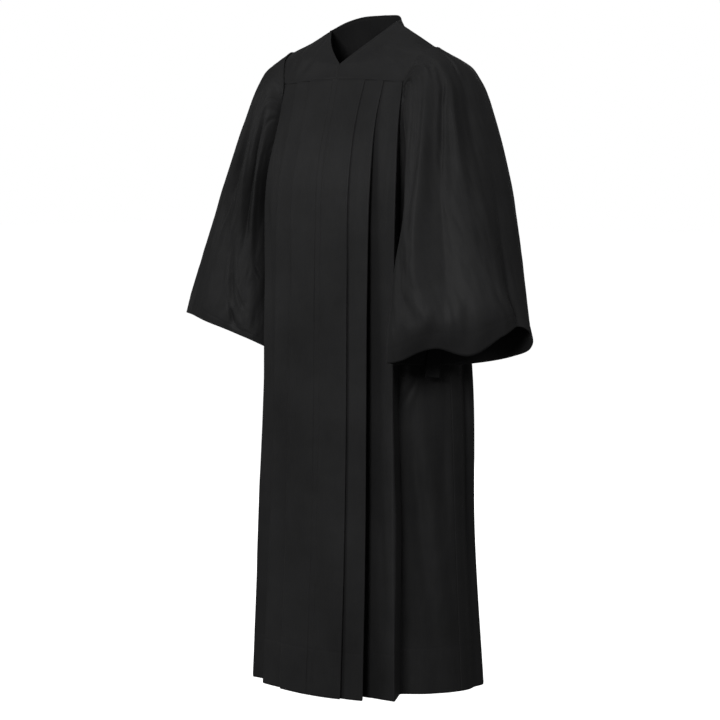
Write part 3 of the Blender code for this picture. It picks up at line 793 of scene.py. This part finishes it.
BACK_FOLDS = {
    "across": (0.05, 0.10, 0.16, 0.21, 0.27, 0.33, 0.36, 0.43, 0.48, 0.54),
    "down": (0.30, 0.16, 0.15, 0.20, 0.15, 0.17, 0.30, 0.15, 0.18, 0.35),
    "to_across": (0.06, 0.11, 0.15, 0.22, 0.28, 0.32, 0.38, 0.42, 0.49, 0.55),
    "to_down": (1.10, 1.30, 0.90, 1.36, 0.80, 1.36, 1.20, 1.00, 1.36, 1.25),
    "bow": (0.004, -0.006, 0.004, 0.003, -0.005, 0.006, -0.004, 0.005, -0.004, 0.003),
    "width": (0.012, 0.014, 0.010, 0.013, 0.010, 0.014, 0.011, 0.012, 0.014, 0.012),
    "depth": (0.003, 0.004, -0.003, 0.004, 0.003, -0.003, 0.003, 0.004, 0.004, 0.003),
}


def back_line(drop, shares):
    """Plan points of the smooth back from the left side seam to the right one."""
    route = round_line(drop)
    gap = side_gap(drop)
    if drop < UNDERARM_DROP:
        end_x, end_y = armhole_at_drop(drop, UNDERARM_TURN, BACK_SEAM_TURN)
        route = [(end_x, end_y)] + route[3:8] + [(-end_x, end_y)]
        return line_through(route, lambda keys: gap + shares * (keys[-1] - 2 * gap))
    return line_through(route, lambda keys: keys[2] + gap + shares * (keys[8] - keys[2] - 2 * gap))


class ROBE_OT_back_panel(bpy.types.Operator):
    """Lays the gathered back panel with its long uneven flutes"""

    bl_idname = "robe.back_panel"
    bl_label = "Back panel"

    def execute(self, context):
        cloth = context.scene.robe_cloth
        hem = ROBE_LENGTH - cloth.hem
        drops = skirt_drops(BACK_SEAM_DROP + SEAM_GAP)
        shares = np.linspace(0, 1, 209)
        plan = np.array([back_line(drop, shares) for drop in drops])
        level = np.broadcast_to(drops[:, None], plan.shape[:2])
        fall = BACK_SEAM_FALL * np.clip(np.abs(plan[..., 0]) / BACK_SEAM_HALF_WIDTH, 0, 1)
        level = level + fall * (1 - np.clip((level - BACK_SEAM_DROP) / BACK_SEAM_EASE, 0, 1))
        grid = points(plan[..., 0], plan[..., 1], -level)
        out = normals(grid)
        across = run_lengths(grid)[..., 0]
        below = level - BACK_SEAM_DROP
        # Flutes that wander sideways, differ in height and end before the side seams.
        wander = FLUTE_WANDER_TURNS[0] * shares[None, :] + FLUTE_WANDER_TURNS[1] * level
        share = shares[None, :] + FLUTE_WANDER * np.sin(2 * np.pi * wander)
        flute = (1 - np.cos(2 * np.pi * BACK_FLUTES * share)) / 2
        swing = 1 + FLUTE_SWING * np.sin(9.0 * shares + 1.0)
        flute = FLUTE_FLOOR + flute ** FLUTE_ROUNDNESS * swing
        flute = flute * np.clip(np.sin(np.pi * shares) * 3, 0, 1)
        depth = flute * BACK_FLUTE_DEPTH * np.clip(below / BACK_FLUTE_RUN, 0, 1)
        # Small gathers that start at the seam and die away under it.
        round_flutes = BACK_FLUTES * GATHERS_PER_FLUTE * share + 0.3 * np.sin(17 * shares)
        gather = (1 - np.cos(2 * np.pi * round_flutes)) / 2
        fade = np.exp(-(below / BACK_GATHER_LENGTH) ** 2) * ease(below / BACK_GATHER_START)
        depth = depth + gather * BACK_GATHER_DEPTH * fade
        folds = creases(BACK_FOLDS, across, level)
        depth = depth + folds * ease((level - BACK_FOLD_START) / BACK_FOLD_RUN)
        depth = depth + sewn_line("hem", level - hem) + sewn_line("edge", ROBE_LENGTH - level)
        depth = depth + sewn_line("gathered seam", below)
        flat = run_lengths(grid)
        grid = grid - out * depth[..., None]
        piece = sheet_mesh("back_panel_cloth", grid, flat)
        wear(piece, "back_panel")
        return {"FINISHED"}


def neck_edge(name, share):
    """A front neck edge, from the side neck point (0) down to the V (1), in left terms."""
    start, end = np.array(NECK_SIDES[name]), np.array(NECK_V)
    bow = np.array(NECK_BOW) * np.sin(np.pi * share)[..., None]
    return start + (end - start) * share[..., None] + bow


YOKE_CREASES = {
    "left": {
        "across": (0.050, 0.075, 0.095, 0.100, 0.120),
        "down": (0.030, 0.035, 0.050, 0.020, 0.060),
        "to_across": (0.110, 0.120, 0.145, 0.150, 0.155),
        "to_down": (0.060, 0.075, 0.085, 0.045, 0.100),
        "bow": (0.003, -0.003, 0.003, 0.002, 0.002),
        "width": (0.006, 0.007, 0.006, 0.006, 0.006),
        "depth": (0.0014, -0.0012, 0.0014, 0.0012, 0.0010),
    },
    "right": {
        "across": (0.085, 0.100, 0.120, 0.070),
        "down": (0.005, 0.010, 0.020, 0.060),
        "to_across": (0.080, 0.105, 0.135, 0.120),
        "to_down": (0.075, 0.085, 0.095, 0.095),
        "bow": (0.003, -0.003, 0.003, 0.002),
        "width": (0.006, 0.007, 0.006, 0.008),
        "depth": (0.0014, -0.0012, 0.0014, 0.0012),
    },
}


# How far a front yoke swells in its middle, the shares over which its creases fade at its sides
# and at its seam, and the shares of its places: across it from the neck to the armhole, and along
# it from the shoulder to the seam.
YOKE_BULGE = (0.0, -0.010, 0.006)
YOKE_SIDE_FADE = 0.12
YOKE_SEAM_FADE = 0.10
YOKE_ACROSS = np.concatenate([[0, 0.012, 0.026, 0.045], np.linspace(0.07, 0.97, 62), [0.985, 1.0]])
YOKE_SHARE = np.concatenate([[0, 0.01, 0.03], np.linspace(0.06, 0.94, 70), [0.96, 0.98, 0.99, 1.0]])


def neck_roll(edge):
    """How far the cloth stands out where it is turned in at the neck, this far from the edge."""
    return NECK_ROLL * np.exp(-(((edge - NECK_ROLL_WIDTH) / NECK_ROLL_WIDTH) ** 2))


class ROBE_OT_front_yokes(bpy.types.Operator):
    """Lays both smooth front yokes from the shoulder to the chest seam"""

    bl_idname = "robe.front_yokes"
    bl_label = "Front yokes"

    def execute(self, context):
        for name, side in (("left", 1), ("right", -1)):
            across, share = YOKE_ACROSS[:, None], YOKE_SHARE[None, :]
            reach = np.clip(share - V_SHARE, 0, 1) / (1 - V_SHARE)
            tip = np.array(NECK_V)
            below = tip + (seam_point(np.array(0.0)) - tip) * reach[..., None]
            neck = neck_edge(name, np.minimum(share / V_SHARE, 1))
            inner = np.where(reach[..., None] > 0, below, neck)
            outer = armhole(share * FRONT_SEAM_TURN)[0]
            bulge = (4 * across * (1 - across) * np.sin(np.pi * share))[..., None]
            grid = inner + (outer - inner) * across[..., None] + np.array(YOKE_BULGE) * bulge
            pull = seam_point(outer[..., 0] * across) - grid
            grid = grid + pull * (reach ** 2)[..., None]
            grid[..., 0] = np.maximum(grid[..., 0], SEAM_GAP / 2)
            flat = run_lengths(grid)
            out = normals(grid)
            from_seam = np.linalg.norm(grid - seam_point(grid[..., 0]), axis=-1)
            depth = creases(YOKE_CREASES[name], grid[..., 0], -grid[..., 2])
            depth = depth * ease(across / YOKE_SIDE_FADE) * ease((1 - across) / YOKE_SIDE_FADE)
            depth = depth * ease((1 - share) / YOKE_SEAM_FADE)
            edge = np.linalg.norm(grid - inner, axis=-1)
            depth = depth - neck_roll(edge) * (reach == 0)
            depth = depth + sewn_line("neck", edge - NECK_STITCHES) * (reach == 0)
            depth = depth + sewn_line("plain seam", grid[..., 0]) * (reach > 0)
            depth = depth + sewn_line("yoke seam", from_seam)
            depth = depth + sewn_line("gathered seam", np.linalg.norm(grid - outer, axis=-1))
            grid = (grid + out * depth[..., None]) * (side, 1, 1)
            piece = sheet_mesh("front_yoke_" + name + "_cloth", grid, flat, mirrored=side > 0)
            wear(piece, "front_yoke_" + name)
        return {"FINISHED"}


class ROBE_OT_back_yoke(bpy.types.Operator):
    """Lays the back yoke with the rolled edge of the neck"""

    bl_idname = "robe.back_yoke"
    bl_label = "Back yoke"

    def half(self, name, across, down):
        """Places from the armhole or shoulder to the centre back, in wearer's left terms."""
        start, tip = np.array(NECK_SIDES[name]), armhole(np.array(0.0))[0]
        shoulder = tip + (start - tip) * np.linspace(0, 1, SHOULDER_STEPS + 1)[:-1, None]
        neck = line_through((start,) + NECK_BACK, lambda keys: np.linspace(0, keys[-1], NECK_STEPS + 1))
        top = np.concatenate([shoulder, neck])
        side = 1 - across
        seam_y = YOKE_SEAM_BACK - YOKE_SEAM_FORWARD * side ** 2
        bottom = points(BACK_SEAM_HALF_WIDTH * side, seam_y, -BACK_SEAM_DROP - BACK_SEAM_FALL * side)
        control = top + (bottom - top) * YOKE_BEND
        control[:, 0] = (top[:, 0] + bottom[:, 0]) / 2 + YOKE_BEND_OUT
        share = down[..., None]
        half = top * (1 - share) ** 2 + control * 2 * share * (1 - share) + bottom * share ** 2
        edge = armhole(360 - down * FRONT_SEAM_TURN)[0]
        near = np.exp(-((across[None, :, None] / YOKE_EDGE_WIDTH) ** 2))
        return half + (edge - half[:, :1]) * near

    def execute(self, context):
        shoulder = np.arange(SHOULDER_STEPS) / SHOULDER_STEPS * SHOULDER_PARTS
        neck = SHOULDER_PARTS + np.arange(NECK_STEPS + 1) / NECK_STEPS * NECK_PARTS
        across = np.concatenate([shoulder, neck]) / (SHOULDER_PARTS + NECK_PARTS)
        down = np.concatenate([[0, 0.012, 0.03], np.linspace(0.055, 0.95, 54), [0.97, 0.985, 1.0]])
        left, right = (self.half(name, across, down[:, None]) for name in ("left", "right"))
        grid = np.concatenate([left, right[:, -2::-1] * (-1, 1, 1)], axis=1)
        flat = run_lengths(grid)
        out = normals(grid)
        past_shoulder = np.arange(len(across)) >= SHOULDER_STEPS
        in_neck = np.concatenate([past_shoulder, past_shoulder[-2::-1]])[None, :]
        length = np.linalg.norm(grid - grid[:1], axis=-1)
        depth = -neck_roll(length) * in_neck
        depth = depth + sewn_line("plain seam", length) * ~in_neck
        depth = depth + sewn_line("edge", np.linalg.norm(grid - grid[-1:], axis=-1))
        grid = grid - out * depth[..., None]
        piece = sheet_mesh("back_yoke_cloth", grid, flat)
        wear(piece, "back_yoke")
        return {"FINISHED"}


# Pinches at a sleeve head and the soft creases lower down, on the sleeve laid out flat: from one
# turn and share of the length to another. Width and depth are metres. A negative depth is a ridge.
SLEEVE_CREASES = {
    "left": {
        "turn": (32, 50, 54, 68, 26, 34, 8, 84, 100, 70, 40, 46, 34, 128, 35, 52, 66, 110),
        "along": (0.12, 0.15, 0.12, 0.12, 0.15, 0.20, 0.07, 0.80, 0.86, 0.84, 0.82, 0.84, 0.66, 0.70,
                  -0.07, -0.06, -0.05, 0.05),
        "to_turn": (65, 118, 93, 106, 48, 44, 16, 96, 112, 82, 24, 36, 40, 106, 46, 74, 92, 118),
        "to_along": (0.52, 0.80, 0.48, 0.40, 0.62, 0.29, 0.22, 1.01, 1.01, 1.01, 1.01, 0.99, 0.84, 0.99,
                     0.20, 0.20, 0.17, 0.55),
        "bow": (0.003, 0.002, 0.002, 0.002, 0.002, 0.001, 0.001, 0.002, 0.002, 0.002, -0.002, 0.001,
                0.002, -0.006, 0.001, -0.001, 0.001, 0.002),
        "width": (0.0065, 0.016, 0.006, 0.005, 0.010, 0.005, 0.004, 0.008, 0.011, 0.012, 0.012, 0.008,
                  0.008, 0.014, 0.004, 0.004, 0.004, 0.010),
        "depth": (0.0050, -0.007, 0.0028, 0.0022, -0.005, 0.004, 0.004, -0.0025, 0.003, 0.0035, -0.003,
                  0.002, 0.0012, 0.003, 0.0050, 0.0056, 0.0048, 0.0025),
    },
    "right": {
        "turn": (56, 70, 90, 108, 104, 128, 119, 127, 143, 52, 150, 165, 80, 96, 112),
        "along": (0.12, 0.15, 0.12, 0.12, 0.54, 0.84, 0.80, 0.73, 0.56, 0.30, 0.10, 0.30, 0.03, 0.03,
                  0.03),
        "to_turn": (90, 114, 130, 140, 138, 138, 136, 142, 158, 58, 156, 168, 86, 104, 122),
        "to_along": (0.62, 0.54, 0.58, 0.62, 0.93, 0.97, 0.93, 0.82, 0.58, 0.80, 0.50, 0.80, 0.20, 0.18,
                     0.17),
        "bow": (0.003, 0.003, 0.003, 0.003, 0.002, 0.001, 0.001, 0.001, 0.002, 0.003, 0.002, 0.003, 0.001,
                0.001, -0.001),
        "width": (0.016, 0.008, 0.012, 0.009, 0.009, 0.010, 0.004, 0.005, 0.005, 0.014, 0.008, 0.010, 0.003,
                  0.003, 0.003),
        "depth": (0.011, -0.003, 0.007, -0.003, 0.006, 0.006, 0.003, 0.003, 0.003, 0.002, 0.003, 0.003,
                  0.0015, 0.0015, 0.0015),
    },
}


def sleeve_creases(name, turn, along):
    """How far the sleeve's cloth lies in at these places because of its own table of creases."""
    table = SLEEVE_CREASES[name]
    rows = {
        "across": [value * TURN_WIDTH for value in table["turn"]],
        "down": [value * SLEEVE_RUN for value in table["along"]],
        "to_across": [value * TURN_WIDTH for value in table["to_turn"]],
        "to_down": [value * SLEEVE_RUN for value in table["to_along"]],
    }
    rows.update({key: table[key] for key in ("bow", "width", "depth")})
    return creases(rows, turn * TURN_WIDTH, along * SLEEVE_RUN)


def fold_depth(folds, turn, along):
    """How far the sleeve's cloth lies in at these places because of its long folds."""
    depth = np.zeros(turn.shape)
    for number in range(len(folds["head"])):
        row = {key: folds[key][number] for key in folds}
        rising = (along - row["start"]) / (row["deepest"] - row["start"])
        falling = (row["end"] - along) / (row["end"] - row["deepest"])
        strength = np.clip(np.where(along <= row["deepest"], rising, falling), 0, 1)
        middle = row["head"] + (row["hem"] - row["head"]) * along
        away = (turn - middle + 180) % 360 - 180
        aside = np.sqrt((away / row["width"] / FOLD_REACH) ** 2 + FOLD_ROUNDNESS)
        flank = np.clip(1 - aside, 0, 1) ** FOLD_STEEPNESS
        depth += row["depth"] * ease(strength) * flank
    return depth


def sleeve_places(name, turn, along):
    """(places, spokes) of the sleeve's cloth in wearer's left terms."""
    ring = {key: smooth(RING_STEPS, SLEEVE_RINGS[name][key], along) for key in SLEEVE_RINGS[name]}
    centre = (ring["outer"] + ring["front"] + ring["inner"] + ring["back"]) / 4
    lengthways = (ring["outer"] - ring["inner"]) / 2
    crossways = (ring["front"] - ring["back"]) / 2
    skew = (ring["outer"] - ring["front"] + ring["inner"] - ring["back"]) / 4
    angle = np.radians(turn)[..., None]
    spoke = lengthways * np.cos(angle) + crossways * np.sin(angle)
    loft = centre + spoke + skew * np.cos(2 * angle)
    fade = HEAD_FOLD + (1 - HEAD_FOLD) * ease(along / HEAD_FOLD_RUN)
    depth = fold_depth(SLEEVE_FOLDS[name], turn, along) * fade
    loft = loft - unit(spoke) * depth[..., None]
    lift = smooth(HEM_LIFT[name]["turn"], HEM_LIFT[name]["lift"], turn)
    loft[..., 2] += lift * np.clip((along - CUFF_LIFT_START) / (1 - CUFF_LIFT_START), 0, 1) ** 2
    edge, facing = armhole(turn)
    stand = HEAD_LIFT + (1 - HEAD_LIFT) * ease(along / HEAD_LIFT_RUN)
    edge = edge + facing * SLEEVE_LIFT * stand[..., None]
    return edge + (loft - edge) * ease(along / HEAD_EASE_RUN)[..., None], unit(spoke)


class ROBE_OT_sleeves(bpy.types.Operator):
    """Lays both bell sleeves, gathered at the head and open at the cuff"""

    bl_idname = "robe.sleeves"
    bl_label = "Sleeves"

    def execute(self, context):
        cloth = context.scene.robe_cloth
        turns = np.linspace(-30, 330, 289)
        head = np.linspace(0, 0.12, 36, endpoint=False)
        steps = np.concatenate([head, np.linspace(0.12, 1.0, 128)])
        turn, along = (grid.T for grid in np.meshgrid(turns, steps, indexing="ij"))
        round_turn = np.radians(turn)
        for name, side in (("left", 1), ("right", -1)):
            grid, spoke = sleeve_places(name, np.mod(turn, 360), along)
            flat = run_lengths(grid)
            depth = sleeve_creases(name, np.mod(turn, 360), along) * ease(along / HEAD_CREASE_RUN)
            # Small ridges, unevenly spaced round the head, that end at uneven distances from it.
            ridge = np.sin(round_turn * cloth.gather_ridges + 0.9 * np.sin(round_turn * 7))
            reach = GATHER_REACH + GATHER_REACH_SWING * np.sin(round_turn * 5 + 1.0)
            ridge = cloth.gather_height * ridge * ease(along / GATHER_START_RUN)
            depth += ridge * ease((reach - along) / GATHER_END_RUN)
            depth += sewn_line("sleeve head", along * SLEEVE_RUN) * (along > 0)
            around = points(np.cos(round_turn), np.sin(round_turn), 4.0 * (side + 1) + along)
            swell = sum(height * unevenness(around, stretch) for height, stretch in SLEEVE_SWELLS)
            depth += swell * ease(along / SWELL_RUN) * ease((1.02 - along) / SWELL_RUN)
            depth += sewn_line("cuff", (along - SLEEVE_HEM_SHARE) * SLEEVE_RUN)
            grid = grid - spoke * depth[..., None]
            grid[:, -1] = grid[:, 0]
            grid = grid * (side, 1, 1)
            piece = sheet_mesh("sleeve_" + name + "_cloth", grid, flat, ring=True, mirrored=side > 0)
            node = "sleeve_" + name
            wear(piece, node)
        return {"FINISHED"}


class ROBE_OT_sleeve_tab(bpy.types.Operator):
    """Lays the small tab inside the hem of the left sleeve"""

    bl_idname = "robe.sleeve_tab"
    bl_label = "Sleeve tab"

    def execute(self, context):
        turn = np.linspace(TAB_TURNS[0], TAB_TURNS[1], 13)[None, :]
        along = np.linspace(TAB_START, 1.0, 9)[:, None]
        turn, along = np.broadcast_arrays(turn, along)
        grid = sleeve_places("left", turn, along)[0]
        inward = unit((np.array(CUFF_MIDDLE) - grid) * (1, 1, 0))
        grid = grid + inward * TAB_GAP
        hang = np.linspace(0, 1, 14)[1:, None, None] * np.array([0.0, 0.0, -TAB_HANG])
        grid = np.concatenate([grid, grid[-1:] + hang])
        piece = sheet_mesh("sleeve_tab_left_cloth", grid, run_lengths(grid), mirrored=True)
        wear(piece, "sleeve_tab_left")
        return {"FINISHED"}


class Value:
    """A socket or a number that adds Math nodes when it is reckoned with."""

    def __init__(self, tree, socket):
        self.tree = tree
        self.socket = socket

    def _math(self, operation, *inputs):
        return add_node(self.tree, "ShaderNodeMath", {"operation": operation}, dict(enumerate(inputs)))

    def __add__(self, other):
        return self._math("ADD", self, other)

    def __mul__(self, other):
        return self._math("MULTIPLY", self, other)

    __radd__ = __add__
    __rmul__ = __mul__

    def sine(self):
        return self._math("SINE", self)


def add_node(tree, kind, settings=None, inputs=None, output=0):
    """A new node with its settings and its sockets' values or links, as a Value of one output."""
    node = tree.nodes.new(kind)
    for key, value in (settings or {}).items():
        setattr(node, key, value)
    for key, value in (inputs or {}).items():
        socket = node.inputs[key]
        if isinstance(value, Value):
            tree.links.new(value.socket, socket)
        else:
            socket.default_value = value
    return Value(tree, node.outputs[output])


def mottle(tree, place, scale, detail):
    """Soft uneven patches, from 0 to 1, finer where the scale is larger."""
    inputs = {"Vector": place, "Scale": scale, "Detail": detail}
    return add_node(tree, "ShaderNodeTexNoise", inputs=inputs)


def robe_cloth():
    """The robe's black satin-faced cloth: threads, a soft sheen and faint unevenness."""
    name = "robe black cloth"
    if name in bpy.data.materials:
        return bpy.data.materials[name]
    cloth = bpy.context.scene.robe_cloth
    material = bpy.data.materials.new(name)
    material.use_nodes = True
    tree = material.node_tree
    shader = tree.nodes["Principled BSDF"]
    shader.inputs["Roughness"].default_value = cloth.roughness
    for key, value in FINISH.items():
        shader.inputs[key].default_value = value
    flat = add_node(tree, "ShaderNodeUVMap", {"uv_map": "cloth"})
    place = add_node(tree, "ShaderNodeTexCoord", output="Object")
    parts = tree.nodes.new("ShaderNodeSeparateXYZ")
    tree.links.new(flat.socket, parts.inputs[0])
    across, down = Value(tree, parts.outputs[0]), Value(tree, parts.outputs[1])
    turns = 2 * math.pi / cloth.thread_pitch
    threads = (across * turns).sine() * (down * turns * 0.5).sine()
    stretch = {"Vector": flat, "Scale": STREAK_SCALE}
    long_flat = add_node(tree, "ShaderNodeMapping", inputs=stretch)
    streaks = mottle(tree, long_flat, 1.0, 3.0)
    puckers = mottle(tree, place, 34.0, 4.0)
    clouds = mottle(tree, place, 6.0, 3.0)
    tone = TONE["ground"] + clouds * TONE["clouds"]
    tone = tone + streaks * TONE["streaks"] + puckers * TONE["puckers"]
    base = tuple(cloth.colour) + (1.0,)
    blend = {"data_type": "RGBA", "blend_type": "MULTIPLY"}
    colour = add_node(tree, "ShaderNodeMix", blend, {0: 1.0, 6: base}, output=2)
    grey = tree.nodes.new("ShaderNodeCombineColor")
    for socket in grey.inputs:
        tree.links.new(tone.socket, socket)
    tree.links.new(grey.outputs[0], colour.socket.node.inputs[7])
    tree.links.new(colour.socket, shader.inputs["Base Color"])
    soft = cloth.roughness - GLOSS_SWING + streaks * GLOSS_SWING + clouds * GLOSS_SWING
    tree.links.new(soft.socket, shader.inputs["Roughness"])
    height = threads * BUMP["threads"] + streaks * BUMP["streaks"] + puckers * BUMP["puckers"]
    bump = add_node(tree, "ShaderNodeBump", inputs={"Strength": 0.6, "Distance": 1.0, "Height": height})
    tree.links.new(bump.socket, shader.inputs["Normal"])
    return material


def plain_material(name, colour, roughness):
    """A matt material of one colour."""
    material = bpy.data.materials.new(name)
    material.use_nodes = True
    shader = material.node_tree.nodes["Principled BSDF"]
    shader.inputs["Base Color"].default_value = colour
    shader.inputs["Roughness"].default_value = roughness
    return material


def soft_light(name, place, aim, size, power, in_highlights):
    """A square area light at a place, aimed at a point."""
    data = bpy.data.lights.new(name, "AREA")
    data.shape = "SQUARE"
    data.size = size
    data.energy = power
    lamp = add_object(name, data)
    lamp.location = place
    lamp.rotation_euler = (Vector(aim) - Vector(place)).to_track_quat("-Z", "Y").to_euler()
    lamp.visible_glossy = in_highlights


class ROBE_OT_studio(bpy.types.Operator):
    """Sets the pale floor, the soft lights and the camera"""

    bl_idname = "robe.studio"
    bl_label = "Studio"

    def execute(self, context):
        studio = context.scene.robe_studio
        body = bmesh.new()
        bmesh.ops.create_grid(body, x_segments=2, y_segments=2, size=FLOOR_HALF_SIZE)
        for vert in body.verts:
            vert.co.z = CAD_BOX[0][2] - studio.floor_drop
        floor = mesh_object("studio_floor", body)
        pale = plain_material("pale floor", FLOOR_GREY, 0.9)
        shader = pale.node_tree.nodes["Principled BSDF"]
        shader.inputs["Emission Color"].default_value = WHITE
        shader.inputs["Emission Strength"].default_value = studio.floor_glow
        floor.data.materials.append(pale)
        floor.visible_diffuse = False
        floor.visible_glossy = False
        world = bpy.data.worlds.new("pale studio air")
        world.use_nodes = True
        air = world.node_tree.nodes["Background"]
        air.inputs["Color"].default_value = WHITE
        seen = add_node(world.node_tree, "ShaderNodeLightPath", output="Is Camera Ray")
        strength = studio.air_light + seen * (1.0 - studio.air_light)
        world.node_tree.links.new(strength.socket, air.inputs["Strength"])
        context.scene.world = world
        context.scene.view_settings.view_transform = "Standard"
        for light in zip(*LIGHTS.values()):
            soft_light(*light)
        data = bpy.data.cameras.new("camera")
        data.lens = studio.lens
        data.sensor_width = CAMERA_SENSOR
        camera = add_object("camera", data)
        camera.location = CAMERA_PLACE
        camera.rotation_euler = (math.radians(CAMERA_TILT), 0.0, math.radians(CAMERA_TURN))
        context.scene.camera = camera
        return {"FINISHED"}


STEPS = (
    ROBE_OT_front_yokes,
    ROBE_OT_back_yoke,
    ROBE_OT_front_panels,
    ROBE_OT_front_fly,
    ROBE_OT_back_panel,
    ROBE_OT_sleeves,
    ROBE_OT_sleeve_tab,
    ROBE_OT_studio,
)


class ROBE_PT_panel(bpy.types.Panel):
    """Lists the robe's sizes and the steps that lay its cloth"""

    bl_idname = "ROBE_PT_panel"
    bl_label = "Judge's Robe"
    bl_space_type = "VIEW_3D"
    bl_region_type = "UI"
    bl_category = "Robe"

    def draw(self, context):
        for group in (context.scene.robe_cloth, context.scene.robe_studio):
            for name in group.__annotations__:
                self.layout.prop(group, name)
        for step in STEPS:
            self.layout.operator(step.bl_idname)


CLASSES = (Cloth, Studio) + STEPS + (ROBE_PT_panel,)


def register():
    for item in CLASSES:
        bpy.utils.register_class(item)
    bpy.types.Scene.robe_cloth = bpy.props.PointerProperty(type=Cloth)
    bpy.types.Scene.robe_studio = bpy.props.PointerProperty(type=Studio)


def unregister():
    del bpy.types.Scene.robe_studio
    del bpy.types.Scene.robe_cloth
    for item in reversed(CLASSES):
        bpy.utils.unregister_class(item)


def main():
    register()
    for step in STEPS:
        group, name = step.bl_idname.split(".")
        getattr(getattr(bpy.ops, group), name)()


if __name__ == "__main__":
    main()
